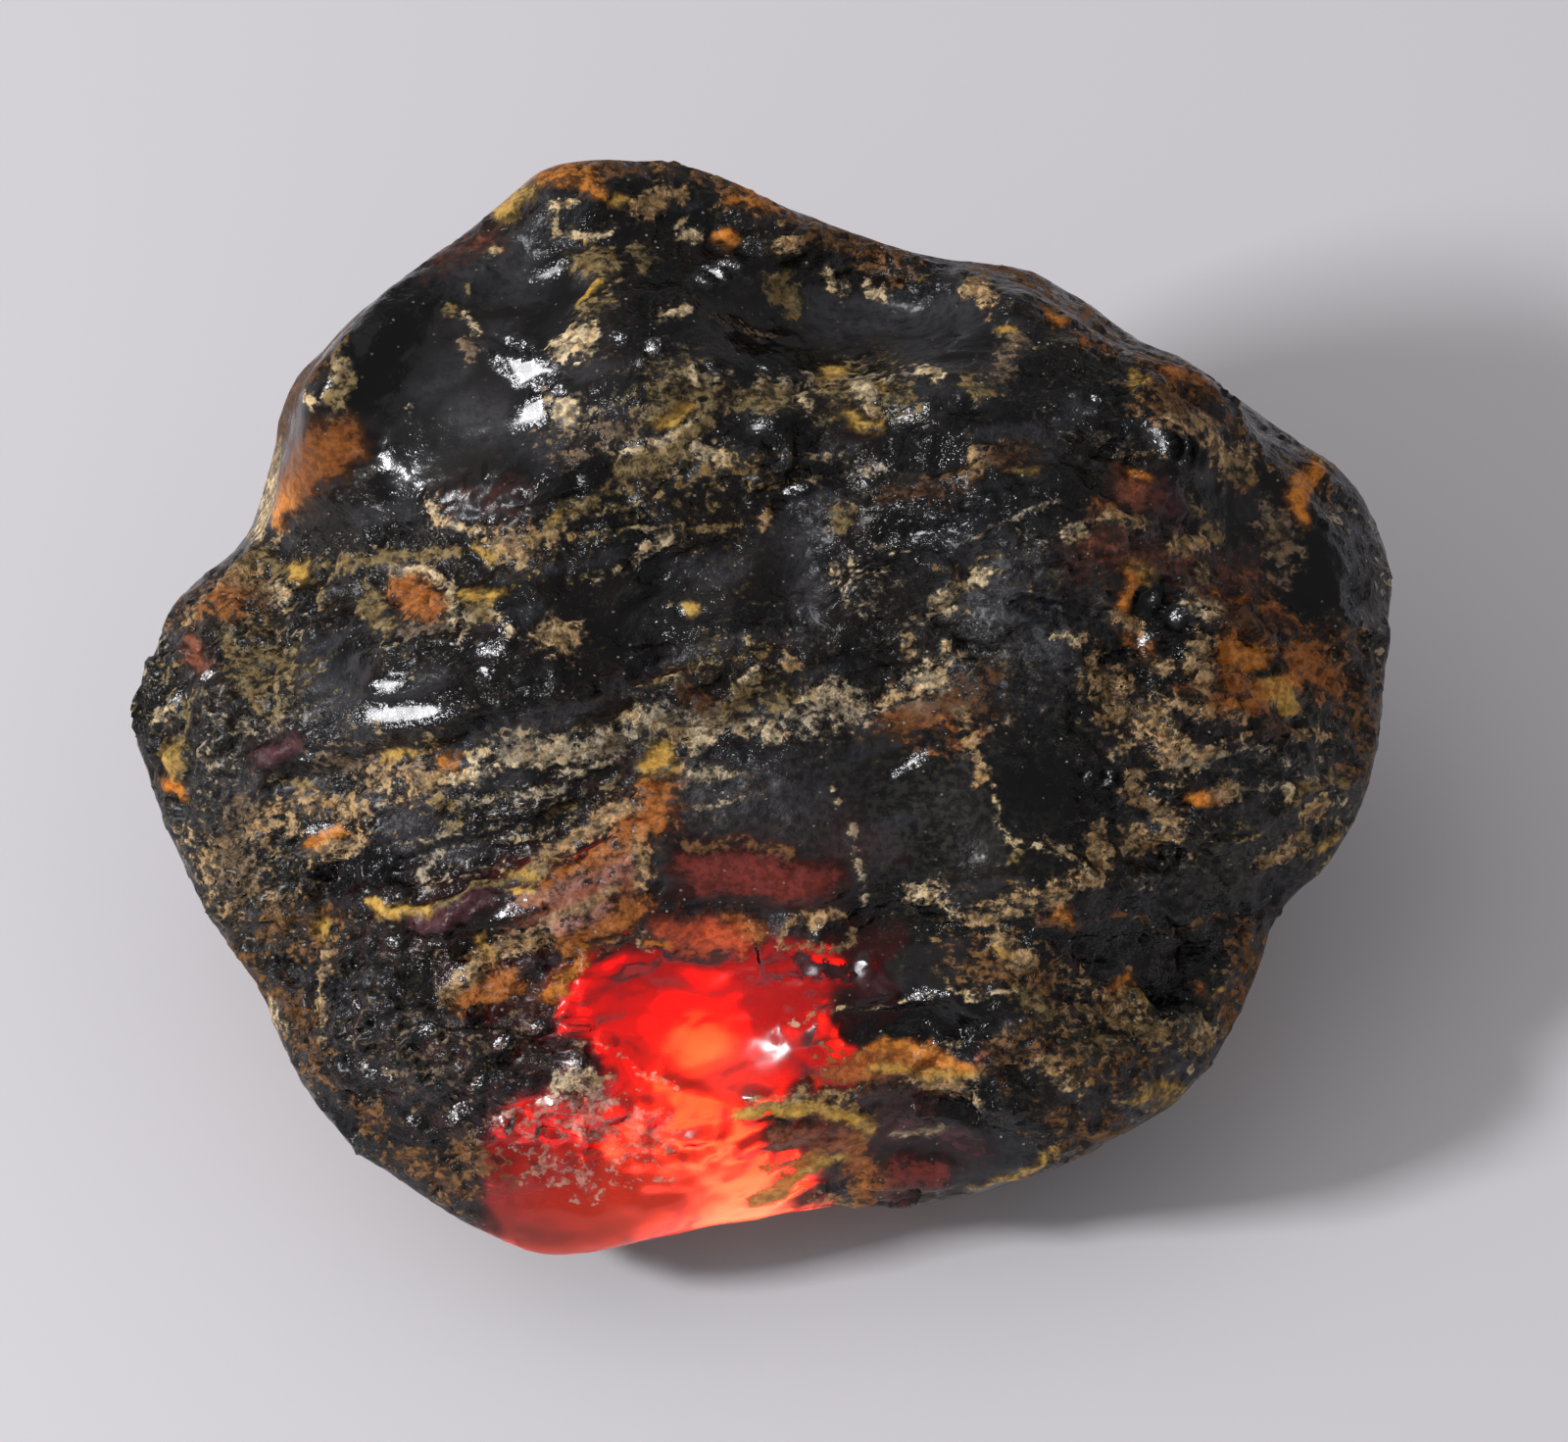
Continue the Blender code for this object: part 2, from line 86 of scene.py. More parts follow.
# Marks on the seen side: colour, fullness, half width in mm, and route (across, up)
MARKS = [
    # Top edge
    ("gold", 0.9, 0.45, [(-10.2, 19.6), (-9.4, 20.5)]),
    ("orange", 0.8, 0.4, [(-9.0, 20.9), (-7.7, 21.0)]),
    ("beige", 0.85, 0.22, [(-8.4, 19.7), (-7.2, 19.8)]),
    ("orange", 0.85, 0.35, [(-7.0, 21.0), (-6.5, 20.3)]),
    ("gold", 0.85, 0.25, [(-5.9, 20.2), (-5.3, 20.1)]),
    ("brown", 0.6, 0.6, [(-8.0, 21.4), (-5.5, 21.4), (-2.4, 21.0)]),
    ("tan", 0.95, 0.45, [(-4.6, 19.9), (-3.2, 20.3)]),
    ("brown", 0.62, 0.6, [(-1.0, 20.3), (2.8, 18.9), (5.9, 17.9)]),
    ("orange", 0.75, 0.3, [(-0.8, 20.1), (0.4, 19.6)]),
    ("beige", 0.75, 0.14, [(-8.2, 19.2), (-8.0, 18.5), (-6.4, 18.4), (-5.9, 19.0)]),
    ("olive", 0.75, 0.3, [(-5.0, 18.1), (-4.4, 17.4)]),
    ("beige", 0.9, 0.3, [(-2.9, 18.7), (-2.6, 18.6)]),
    ("orange", 0.95, 0.28, [(-1.5, 18.4), (-0.9, 18.4)]),
    ("tan", 0.85, 0.3, [(0.9, 18.1), (1.5, 17.9)]),
    ("brown", 0.62, 0.45, [(2.1, 18.4), (3.4, 18.2), (5.2, 17.2)]),
    ("beige", 0.8, 0.28, [(2.8, 16.7), (3.1, 16.3)]),
    ("olive", 0.95, 0.38, [(0.9, 16.6), (1.4, 15.5)]),
    ("beige", 0.6, 0.25, [(4.2, 16.5), (4.8, 16.0)]),
    # Hollow under the top, and the upper right edge
    ("taupe", 0.6, 0.35, [(-1.6, 14.8), (1.4, 14.4)]),
    ("tan", 0.95, 0.4, [(8.2, 16.4), (8.7, 16.0)]),
    ("brown", 0.75, 0.45, [(8.8, 17.2), (10.6, 16.8)]),
    ("orange", 0.85, 0.28, [(11.2, 15.5), (11.8, 15.3)]),
    ("gold", 1.0, 0.22, [(9.5, 14.7), (9.9, 14.6)]),
    ("rust", 0.8, 0.35, [(12.5, 14.7), (13.2, 14.3)]),
    ("taupe", 0.75, 0.6, [(9.8, 14.1), (9.0, 13.1)]),
    ("olive", 0.8, 0.35, [(8.0, 12.7), (8.9, 12.2)]),
    ("gold", 0.85, 0.25, [(14.6, 12.8), (15.0, 12.4)]),
    ("brown", 0.66, 1.0, [(15.4, 12.4), (17.0, 11.8), (18.2, 11.2)]),
    ("brown", 0.5, 0.7, [(11.0, 16.4), (13.7, 14.7), (15.7, 13.3), (19.6, 10.6), (22.4, 8.8)]),
    ("rust", 0.75, 0.5, [(15.8, 12.9), (17.4, 12.6)]),
    ("tan", 0.75, 0.3, [(16.4, 11.2), (17.6, 11.0)]),
    ("tan", 1.0, 0.55, [(17.9, 10.0), (18.7, 9.8)]),
    ("olive", 0.8, 0.4, [(18.2, 9.1), (19.2, 8.8)]),
    ("brown", 0.7, 0.3, [(18.0, 8.6), (19.2, 8.5)]),
    # Right side
    ("tan", 0.8, 0.35, [(21.6, 10.0), (22.0, 9.4)]),
    ("orange", 1.0, 0.5, [(21.8, 9.2), (21.2, 8.3)]),
    ("orange", 0.95, 0.45, [(21.0, 8.2), (21.3, 7.2)]),
    ("taupe", 0.9, 0.75, [(20.3, 6.9), (20.5, 5.2)]),
    ("olive", 0.6, 0.5, [(21.2, 6.4), (21.2, 4.8)]),
    ("mahogany_and_painted_glow", 0.85, 0.75, [(14.4, 8.6), (15.0, 8.3)]),
    ("orange", 0.8, 0.2, [(14.6, 9.4), (15.1, 9.1)]),
    ("mauve", 0.75, 0.6, [(15.7, 8.8), (16.0, 7.8)]),
    ("rust", 0.75, 0.3, [(12.8, 7.9), (13.6, 7.7)]),
    ("tan", 0.9, 0.4, [(13.6, 7.4), (14.8, 7.0)]),
    ("beige", 0.85, 0.3, [(11.7, 7.0), (12.4, 6.7)]),
    ("olive", 0.8, 0.38, [(16.7, 7.9), (17.6, 6.9)]),
    ("tan", 0.95, 0.32, [(16.1, 6.0), (17.1, 6.4)]),
    ("tan", 0.8, 0.22, [(17.2, 5.4), (17.5, 4.8)]),
    ("orange", 0.8, 0.18, [(17.9, 4.4), (18.1, 4.4)]),
    ("mahogany_and_painted_glow", 0.55, 1.4, [(13.2, 5.9), (16.0, 5.4), (19.0, 4.4)]),
    ("umber", 0.8, 0.8, [(18.0, 3.5), (20.2, 3.3)]),
    ("rust", 0.8, 0.22, [(18.6, 4.1), (20.2, 3.8), (21.0, 2.9)]),
    ("gold", 0.85, 0.35, [(14.8, 5.1), (15.1, 4.6)]),
    ("orange", 1.0, 0.38, [(14.6, 4.9), (14.2, 3.8)]),
    ("tan", 0.85, 0.3, [(13.9, 3.3), (14.5, 3.2)]),
    ("rust", 0.65, 0.5, [(14.4, 2.7), (15.0, 2.4)]),
    ("beige", 0.75, 0.35, [(16.8, 4.0), (17.2, 3.4)]),
    ("beige", 0.8, 0.35, [(11.7, 2.5), (12.5, 2.3)]),
    ("orange", 1.0, 0.7, [(18.2, 2.1), (19.2, 1.8)]),
    ("tan", 0.9, 0.45, [(17.2, 2.1), (17.4, 0.8)]),
    ("rust", 0.95, 0.45, [(18.7, 1.2), (19.3, 1.0)]),
    ("gold", 1.0, 0.4, [(20.0, 0.9), (20.6, 0.3), (20.9, -0.2)]),
    ("orange", 0.95, 0.45, [(19.6, 0.6), (21.0, 0.9)]),
    ("rust", 0.78, 0.9, [(17.6, 0.4), (19.6, 0.2)]),
    ("tan", 0.85, 0.35, [(16.6, -0.3), (18.0, 0.0), (19.2, -0.3)]),
    ("rust", 0.85, 0.8, [(21.2, 2.0), (22.6, 1.2)]),
    ("umber", 0.85, 0.45, [(19.9, -0.7), (20.4, -1.0)]),
    ("tan", 0.92, 0.5, [(13.0, 1.4), (13.9, 0.9)]),
    ("tan", 0.8, 0.3, [(15.4, 1.6), (15.8, 1.3)]),
    ("tan", 0.62, 0.9, [(13.8, -0.2), (15.2, -0.8), (16.0, -1.6)]),
    ("beige", 0.85, 0.28, [(13.5, -1.7), (13.9, -1.8)]),
    ("tan", 0.78, 0.22, [(15.9, -2.0), (17.6, -1.3), (19.4, -1.0)]),
    ("grey", 0.78, 0.16, [(16.2, -2.2), (18.0, -1.8), (19.8, -1.6)]),
    ("tan", 0.75, 0.25, [(20.8, -1.4), (22.6, -1.3)]),
    ("brown", 0.58, 0.9, [(22.6, 2.4), (23.4, 0.0), (23.6, -2.0)]),
    ("orange", 1.0, 0.36, [(17.0, -3.8), (17.4, -3.7)]),
    ("tan", 1.0, 0.32, [(17.6, -3.6), (18.6, -3.5)]),
    ("grey", 0.8, 0.16, [(18.8, -3.6), (19.6, -3.3), (20.0, -2.9)]),
    ("tan", 0.85, 0.35, [(14.4, -2.8), (14.7, -4.0)]),
    ("tan", 0.8, 0.4, [(15.3, -3.7), (16.2, -4.8)]),
    ("beige", 0.8, 0.22, [(20.6, -3.4), (20.9, -3.5)]),
    ("olive", 0.78, 0.22, [(21.4, -3.5), (22.6, -3.0), (23.2, -3.3)]),
    ("tan", 0.85, 0.25, [(21.9, -4.4), (22.5, -4.0)]),
    ("gold", 0.75, 0.16, [(22.0, -5.8), (22.7, -5.0)]),
    ("tan", 0.9, 0.32, [(19.8, -6.3), (20.7, -5.8)]),
    # Left shoulder
    ("terracotta", 1.0, 1.1, [(-16.6, 10.7), (-17.5, 10.0)]),
    ("terracotta", 1.0, 0.85, [(-17.4, 9.7), (-18.6, 8.6)]),
    ("orange", 1.0, 0.5, [(-18.6, 8.3), (-19.2, 7.3)]),
    ("beige", 0.95, 0.4, [(-19.3, 10.6), (-19.6, 8.6), (-20.0, 7.0)]),
    ("umber", 0.9, 0.7, [(-19.2, 9.8), (-18.9, 11.8), (-17.8, 13.8), (-16.0, 15.8)]),
    ("olive", 0.95, 0.55, [(-16.6, 13.6), (-16.4, 12.6), (-17.0, 12.2)]),
    ("beige", 0.75, 0.16, [(-17.9, 12.0), (-17.0, 12.6), (-16.6, 13.6)]),
    ("mahogany_and_painted_glow", 0.56, 0.8, [(-13.2, 17.0), (-12.4, 17.6), (-11.2, 18.5)]),
    ("wine_and_painted_glow", 0.38, 1.5, [(-11.4, 8.2), (-9.2, 8.8)]),
    ("taupe", 0.55, 0.9, [(-8.4, 9.8), (-5.6, 10.6)]),
    ("olive", 0.8, 0.22, [(-11.5, 16.4), (-11.5, 16.2)]),
    ("olive", 0.9, 0.26, [(-12.3, 15.5), (-12.0, 15.5)]),
    ("beige", 0.85, 0.26, [(-11.5, 15.3), (-11.3, 15.1)]),
    ("taupe", 0.85, 0.32, [(-11.7, 14.5), (-11.6, 14.1)]),
    ("beige", 1.0, 0.2, [(-14.1, 11.5), (-14.0, 11.5)]),
    ("beige", 0.95, 0.18, [(-10.9, 18.0), (-10.8, 18.0)]),
    ("brown", 0.8, 0.75, [(-23.0, 3.8), (-21.4, 4.3), (-19.6, 4.9)]),
    ("rust", 0.8, 0.35, [(-22.0, 4.0), (-20.6, 4.2)]),
    ("tan", 0.8, 0.35, [(-23.2, 3.3), (-21.4, 4.7), (-19.8, 5.2)]),
    ("olive", 0.8, 0.35, [(-20.4, 5.5), (-18.8, 5.5)]),
    ("beige", 0.85, 0.3, [(-19.2, 4.7), (-18.8, 4.5)]),
    ("gold", 1.0, 0.38, [(-18.2, 5.3), (-17.8, 5.3)]),
    ("olive", 0.8, 0.28, [(-17.4, 5.4), (-15.8, 5.4), (-13.8, 5.9), (-11.8, 6.0)]),
    ("olive", 0.95, 0.5, [(-15.4, 4.2), (-14.8, 3.4)]),
    ("rust", 0.95, 0.62, [(-13.7, 4.7), (-13.1, 4.0)]),
    ("beige", 0.85, 0.18, [(-14.2, 5.2), (-12.8, 5.4), (-12.0, 4.4), (-12.3, 3.3)]),
    ("taupe", 0.85, 0.28, [(-14.0, 3.1), (-12.6, 3.1)]),
    ("gold", 0.85, 0.42, [(-11.3, 4.4), (-10.2, 4.3)]),
    ("olive", 0.9, 0.38, [(-11.2, 3.7), (-10.4, 3.4)]),
    ("beige", 0.9, 0.26, [(-10.2, 3.5), (-9.9, 3.0)]),
    ("beige", 0.9, 0.14, [(-11.9, 2.4), (-11.6, 3.4)]),
    ("gold", 0.95, 0.28, [(-11.2, 6.3), (-10.8, 5.8)]),
    ("beige", 0.8, 0.18, [(-13.0, 8.4), (-12.4, 7.5), (-11.2, 6.6)]),
    ("tan", 0.85, 0.55, [(-10.6, 6.2), (-9.2, 6.2), (-8.0, 6.9)]),
    ("gold", 0.85, 0.26, [(-8.2, 7.2), (-7.8, 7.6)]),
    ("olive", 0.85, 0.35, [(-9.0, 6.4), (-7.2, 7.7), (-5.3, 9.1), (-3.8, 10.2), (-2.2, 10.9)]),
    ("beige", 0.75, 0.22, [(-5.6, 10.0), (-4.2, 10.3), (-2.8, 11.1)]),
    ("tan", 1.0, 0.6, [(-8.4, 2.8), (-7.8, 2.5)]),
    # Brow
    ("olive", 0.8, 0.5, [(-6.9, 17.3), (-6.2, 17.5)]),
    ("gold", 1.0, 0.15, [(-7.0, 15.4), (-6.1, 16.7)]),
    ("olive", 0.85, 0.25, [(-7.2, 15.0), (-6.2, 15.6), (-5.5, 16.0)]),
    ("beige", 0.95, 0.5, [(-7.8, 13.9), (-7.0, 14.3)]),
    ("beige", 1.0, 0.48, [(-8.0, 11.7), (-7.8, 11.7)]),
    ("beige", 0.85, 0.24, [(-3.5, 15.4), (-3.0, 15.1)]),
    ("beige", 0.85, 0.24, [(-2.7, 13.0), (-2.4, 13.0)]),
    ("olive", 0.8, 0.28, [(-5.2, 12.3), (-4.8, 12.4)]),
    ("gold", 0.95, 0.32, [(-3.9, 11.4), (-3.0, 11.8)]),
    ("olive", 0.75, 0.3, [(-4.4, 11.9), (-3.0, 12.3), (-1.6, 12.4)]),
    ("grey", 0.66, 0.18, [(-2.2, 12.9), (-0.4, 12.9), (2.0, 12.7), (4.0, 12.7), (6.6, 13.4)]),
    ("gold", 0.95, 0.3, [(2.3, 12.9), (3.2, 12.8)]),
    ("tan", 0.85, 0.22, [(-0.4, 13.2), (-0.2, 12.8)]),
    ("olive", 0.8, 0.14, [(0.9, 11.9), (2.2, 12.4), (3.8, 12.4)]),
    ("beige", 0.95, 0.26, [(1.7, 12.2), (1.9, 11.5)]),
    ("beige", 0.95, 0.38, [(3.8, 12.3), (4.2, 11.9)]),
    ("gold", 0.85, 0.38, [(3.4, 11.2), (4.5, 11.0)]),
    ("gold", 0.9, 0.14, [(4.5, 12.3), (4.7, 12.5)]),
    ("beige", 0.85, 0.3, [(6.6, 13.2), (7.0, 13.0)]),
    ("beige", 0.8, 0.22, [(-2.5, 10.0), (-1.5, 9.4)]),
    ("tan", 0.85, 0.3, [(8.2, 10.0), (8.3, 9.2)]),
    ("umber", 0.6, 0.6, [(5.0, 8.1), (8.0, 8.9), (10.4, 9.8)]),
    ("olive", 0.55, 1.2, [(-4.2, 12.2), (1.0, 12.6), (5.4, 12.2)]),
    ("gold", 0.7, 0.22, [(10.0, 9.0), (10.9, 9.2)]),
    ("grey", 0.6, 0.14, [(4.4, 6.2), (7.4, 6.4), (9.2, 7.0), (11.4, 7.9)]),
    ("olive", 0.85, 0.26, [(2.9, 7.9), (2.9, 6.6), (3.5, 7.8)]),
    ("tan", 0.85, 0.2, [(0.1, 7.2), (0.2, 6.6)]),
    ("beige", 0.9, 0.18, [(3.5, 5.9), (3.7, 5.8)]),
    ("beige", 0.85, 0.16, [(2.9, 5.3), (3.0, 5.2)]),
    ("beige", 1.0, 0.26, [(-4.1, 6.4), (-4.0, 6.4)]),
    # Middle
    ("beige", 0.85, 0.42, [(7.1, 4.3), (8.4, 5.1)]),
    ("gold", 0.95, 0.28, [(-3.2, 3.6), (-2.6, 3.6)]),
    ("beige", 0.9, 0.12, [(-3.9, 3.5), (-3.3, 3.6)]),
    ("beige", 0.85, 0.14, [(-0.7, 2.4), (-0.5, 2.3)]),
    ("tan", 0.9, 0.28, [(0.8, 1.6), (1.1, 1.4)]),
    ("beige", 0.7, 0.1, [(-0.6, 0.7), (0.9, 2.0)]),
    ("tan", 0.85, 0.2, [(5.6, 2.5), (5.7, 2.0)]),
    ("beige", 0.9, 0.26, [(7.2, 2.3), (7.4, 1.8)]),
    ("beige", 1.0, 0.55, [(6.2, 0.6), (6.9, 1.1)]),
    ("tan", 0.8, 0.3, [(5.2, 0.3), (6.0, 0.6)]),
    ("rust", 0.62, 1.0, [(5.2, -0.5), (7.4, -0.9)]),
    ("umber", 0.9, 0.9, [(5.4, -0.6), (8.6, 0.6)]),
    ("tan", 0.8, 0.3, [(7.9, -0.2), (8.1, -2.0), (8.7, -3.0)]),
    ("beige", 0.85, 0.12, [(2.9, -3.3), (3.2, -3.7)]),
    ("grey", 0.7, 0.12, [(3.6, -4.4), (3.7, -6.2), (3.8, -7.6)]),
    # Belly furrow
    ("beige", 0.8, 0.45, [(-5.6, -0.5), (-4.4, -0.7), (-3.0, -1.2), (-1.6, -1.4)]),
    ("grey", 0.82, 0.55, [(-9.6, -1.9), (-7.6, -1.7), (-5.6, -1.2), (-4.0, -0.5)]),
    ("umber", 0.85, 0.5, [(-2.9, 0.6), (-2.0, -0.1)]),
    ("beige", 0.8, 0.16, [(-3.5, 1.1), (-3.2, 0.9)]),
    ("olive", 0.72, 0.45, [(-1.2, -0.4), (0.0, 0.5), (1.2, -0.1)]),
    ("beige", 0.9, 0.32, [(-0.4, -1.1), (0.7, -1.1)]),
    ("beige", 0.8, 0.22, [(1.1, -0.3), (2.4, 0.4), (3.4, 0.4), (4.8, 0.3)]),
    ("grey", 0.58, 0.8, [(-4.0, -0.9), (0.4, -0.8), (3.2, 0.2)]),
    ("tan", 0.7, 0.6, [(-15.0, -3.0), (-13.2, -3.0)]),
    ("tan", 0.66, 0.6, [(-19.8, -4.6), (-17.8, -4.0), (-16.0, -4.2)]),
    ("tan", 0.85, 0.45, [(-17.4, -5.4), (-15.8, -5.3)]),
    ("orange", 0.95, 0.26, [(-17.7, -5.1), (-17.0, -4.9)]),
    ("gold", 0.8, 0.26, [(-14.6, -2.3), (-14.0, -2.2)]),
    ("orange", 0.9, 0.28, [(-12.8, -2.1), (-12.1, -2.1)]),
    ("beige", 0.8, 0.38, [(-12.0, -2.7), (-11.0, -2.6)]),
    ("beige", 0.62, 0.45, [(-11.2, -2.4), (-9.2, -2.1), (-7.4, -1.7)]),
    ("grey", 0.7, 0.16, [(-11.8, -3.6), (-10.2, -3.6), (-8.4, -3.3), (-7.4, -2.7), (-5.9, -2.0)]),
    ("grey", 0.62, 0.14, [(-11.8, -5.3), (-9.6, -4.6), (-7.9, -3.6)]),
    ("olive", 0.66, 0.2, [(-8.4, -4.4), (-6.6, -3.4), (-5.2, -2.6)]),
    ("gold", 1.0, 0.26, [(-15.0, -8.0), (-13.0, -7.9)]),
    ("olive", 0.85, 0.16, [(-12.6, -7.8), (-9.8, -6.7), (-8.0, -5.9)]),
    ("gold", 1.0, 0.12, [(-9.9, -6.6), (-9.0, -6.4)]),
    ("gold", 1.0, 0.12, [(-9.8, -7.1), (-9.1, -6.9)]),
    ("tan", 0.85, 0.28, [(-9.0, -6.1), (-7.6, -5.6), (-6.2, -4.9)]),
    # Left end
    ("taupe", 0.85, 0.8, [(-20.6, -4.0), (-20.4, -7.0)]),
    ("tan", 0.6, 1.5, [(-21.4, -6.0), (-19.8, -8.2)]),
    ("brown", 0.66, 1.0, [(-19.4, -9.0), (-17.4, -8.8)]),
    ("gold", 0.85, 0.28, [(-17.5, -8.9), (-17.0, -9.0)]),
    ("olive", 0.9, 0.35, [(-23.0, -1.2), (-22.8, -2.6)]),
    ("gold", 0.8, 0.4, [(-23.2, -1.6), (-23.0, -2.8)]),
    ("orange", 1.0, 0.36, [(-23.5, -3.2), (-23.1, -3.4)]),
    ("beige", 0.85, 0.28, [(-23.9, 0.1), (-23.7, -0.2)]),
    ("olive", 0.8, 0.2, [(-22.5, 0.3), (-22.6, -0.9)]),
    ("olive", 0.85, 0.16, [(-20.2, 0.6), (-19.5, -0.3)]),
    ("mahogany_and_painted_glow", 0.8, 0.5, [(-22.4, 2.4), (-21.8, 1.8)]),
    ("olive", 0.52, 1.4, [(-20.6, 2.6), (-19.0, 1.4)]),
    ("mauve", 0.95, 0.5, [(-19.6, -2.0), (-18.4, -1.5)]),
    ("taupe", 0.8, 0.65, [(-17.4, -2.0), (-16.2, -2.4)]),
    ("brown", 0.64, 0.8, [(-20.5, -9.3), (-18.7, -12.0), (-17.4, -14.0)]),
    ("tan", 0.75, 0.22, [(-17.0, -9.4), (-17.6, -11.2), (-17.2, -13.4)]),
    ("brown", 0.6, 0.6, [(-17.4, -13.4), (-14.7, -16.9), (-11.5, -19.2)]),
    ("beige", 0.85, 0.26, [(-19.3, -12.2), (-19.0, -12.9)]),
    # Around the clear patch
    ("gold", 1.0, 0.35, [(-4.5, -2.3), (-3.8, -2.1)]),
    ("rust", 1.0, 0.8, [(-4.3, -3.2), (-4.0, -4.4), (-5.2, -4.9)]),
    ("tan", 0.85, 0.35, [(-5.2, -3.9), (-6.2, -4.7)]),
    ("tan", 0.85, 0.4, [(-5.0, -5.4), (-4.4, -6.8)]),
    ("wine_and_painted_glow", 0.95, 0.85, [(-2.4, -6.4), (-0.2, -6.4), (2.2, -6.9)]),
    ("brown", 0.8, 0.16, [(-2.8, -5.4), (-0.6, -5.5), (1.2, -5.6)]),
    ("mahogany_and_painted_glow", 0.85, 0.9, [(-5.4, -6.8), (-7.4, -7.6), (-9.0, -8.4)]),
    ("rust", 0.85, 0.5, [(-4.6, -7.6), (-6.2, -8.8), (-7.6, -9.4)]),
    ("pink_and_painted_glow", 0.72, 0.4, [(-5.2, -6.0), (-7.6, -6.9), (-9.6, -7.8)]),
    ("rust", 0.8, 0.35, [(-5.4, -5.7), (-7.8, -6.6), (-9.4, -7.4)]),
    ("tan", 0.8, 0.3, [(-5.6, -7.1), (-7.4, -7.9), (-9.0, -8.9)]),
    ("pink_and_painted_glow", 0.75, 0.35, [(-6.0, -8.0), (-7.8, -8.6)]),
    # Painted glow: a bright red-orange patch just above the clear patch
    ("ember_painted_glow", 0.95, 0.9, [(-3.4, -8.9), (-1.2, -9.0)]),
    ("mauve", 0.8, 0.6, [(-10.8, -7.8), (-13.4, -8.6)]),
    ("tan", 0.8, 0.45, [(-8.6, -9.0), (-10.4, -9.9), (-12.4, -11.2)]),
    ("rust", 0.9, 0.5, [(-9.6, -10.6), (-11.6, -11.4)]),
    ("taupe", 0.46, 1.6, [(-16.0, -12.6), (-12.4, -14.2), (-8.8, -13.4)]),
    ("gold", 0.85, 0.26, [(-10.9, -9.5), (-10.5, -10.0)]),
    ("orange", 0.9, 0.45, [(-7.2, -10.0), (-8.2, -10.8)]),
    ("rust", 0.85, 0.5, [(-1.4, -8.3), (-0.2, -8.7)]),
    ("orange", 1.0, 0.18, [(-4.4, -9.4), (-3.8, -9.4)]),
    ("beige", 0.7, 0.1, [(-4.7, -8.8), (-4.6, -9.6), (-4.0, -10.0)]),
    ("tan", 0.8, 0.2, [(0.8, -9.0), (1.4, -8.2), (3.4, -8.0), (3.6, -8.8), (2.6, -9.3), (0.9, -9.4)]),
    ("mauve", 0.85, 0.7, [(2.0, -10.2), (4.0, -10.8)]),
    ("beige", 0.8, 0.1, [(1.1, -12.3), (4.8, -11.7), (9.6, -11.4)]),
    ("beige", 0.85, 0.1, [(-7.3, -13.0), (-6.1, -13.2), (-4.7, -14.1), (-3.8, -14.8), (-3.0, -15.4)]),
    ("rust", 1.0, 0.95, [(3.0, -14.0), (6.2, -14.0)]),
    ("orange", 1.0, 0.35, [(4.6, -13.2), (6.4, -13.7), (7.8, -14.0)]),
    ("gold", 0.85, 0.25, [(4.4, -14.4), (6.2, -14.5), (8.0, -14.3)]),
    ("tan", 0.8, 0.3, [(5.6, -14.8), (7.6, -14.7)]),
    ("gold", 0.95, 0.34, [(-0.8, -16.0), (0.4, -15.7), (2.4, -15.6), (3.2, -16.0), (4.3, -16.5)]),
    ("tan", 0.8, 0.26, [(-0.4, -15.5), (1.6, -15.2), (3.4, -15.6)]),
    ("mahogany_and_painted_glow", 0.8, 0.7, [(0.8, -17.1), (2.8, -16.9)]),
    ("orange", 0.85, 0.45, [(0.4, -18.2), (2.2, -17.8)]),
    ("gold", 0.9, 0.35, [(-0.6, -19.6), (0.9, -18.9), (2.8, -17.8)]),
    ("rust", 0.95, 0.8, [(3.4, -17.2), (4.0, -18.8)]),
    ("tan", 0.75, 0.35, [(2.0, -19.2), (3.6, -19.3)]),
    ("wine_and_painted_glow", 0.8, 0.9, [(5.2, -18.6), (7.0, -18.4)]),
    ("mauve", 0.7, 0.9, [(5.6, -16.2), (8.4, -17.2)]),
    ("beige", 0.75, 0.14, [(5.4, -16.6), (7.6, -16.5)]),
    # Crust on the wall below the clear patch, pink partly as painted glow from the light below
    ("rose_and_painted_glow", 0.7, 1.0, [(-9.8, -16.4), (-7.8, -15.8), (-6.2, -16.6)]),
    ("rose_and_painted_glow", 0.72, 0.9, [(-7.0, -15.0), (-5.2, -15.8), (-4.4, -17.2)]),
    ("rose_and_painted_glow", 0.62, 0.7, [(-8.8, -18.2), (-6.6, -18.4), (-4.4, -18.4)]),
    ("tan", 0.66, 0.35, [(-5.4, -16.6), (-4.0, -17.4)]),
    ("beige", 0.66, 0.35, [(-8.2, -14.9), (-7.0, -14.4), (-6.0, -14.2)]),
    ("brown", 0.75, 0.8, [(-11.5, -17.6), (-10.5, -18.4)]),
    # Lower right
    ("beige", 0.72, 0.14, [(9.2, -3.3), (9.8, -4.8), (11.0, -5.4), (12.4, -6.2), (13.2, -6.6)]),
    ("tan", 0.82, 0.45, [(13.4, -5.2), (13.4, -6.6)]),
    ("tan", 0.75, 0.45, [(14.6, -5.4), (16.0, -5.0)]),
    ("olive", 0.72, 0.28, [(9.6, -6.2), (10.2, -5.4)]),
    ("beige", 0.78, 0.3, [(5.8, -7.6), (7.4, -7.9)]),
    ("tan", 0.78, 0.35, [(8.2, -8.2), (10.0, -7.8), (11.2, -7.4), (12.6, -7.0)]),
    ("orange", 0.95, 0.24, [(11.6, -7.8), (12.1, -7.9)]),
    ("umber", 0.8, 0.35, [(11.0, -8.2), (12.2, -8.3)]),
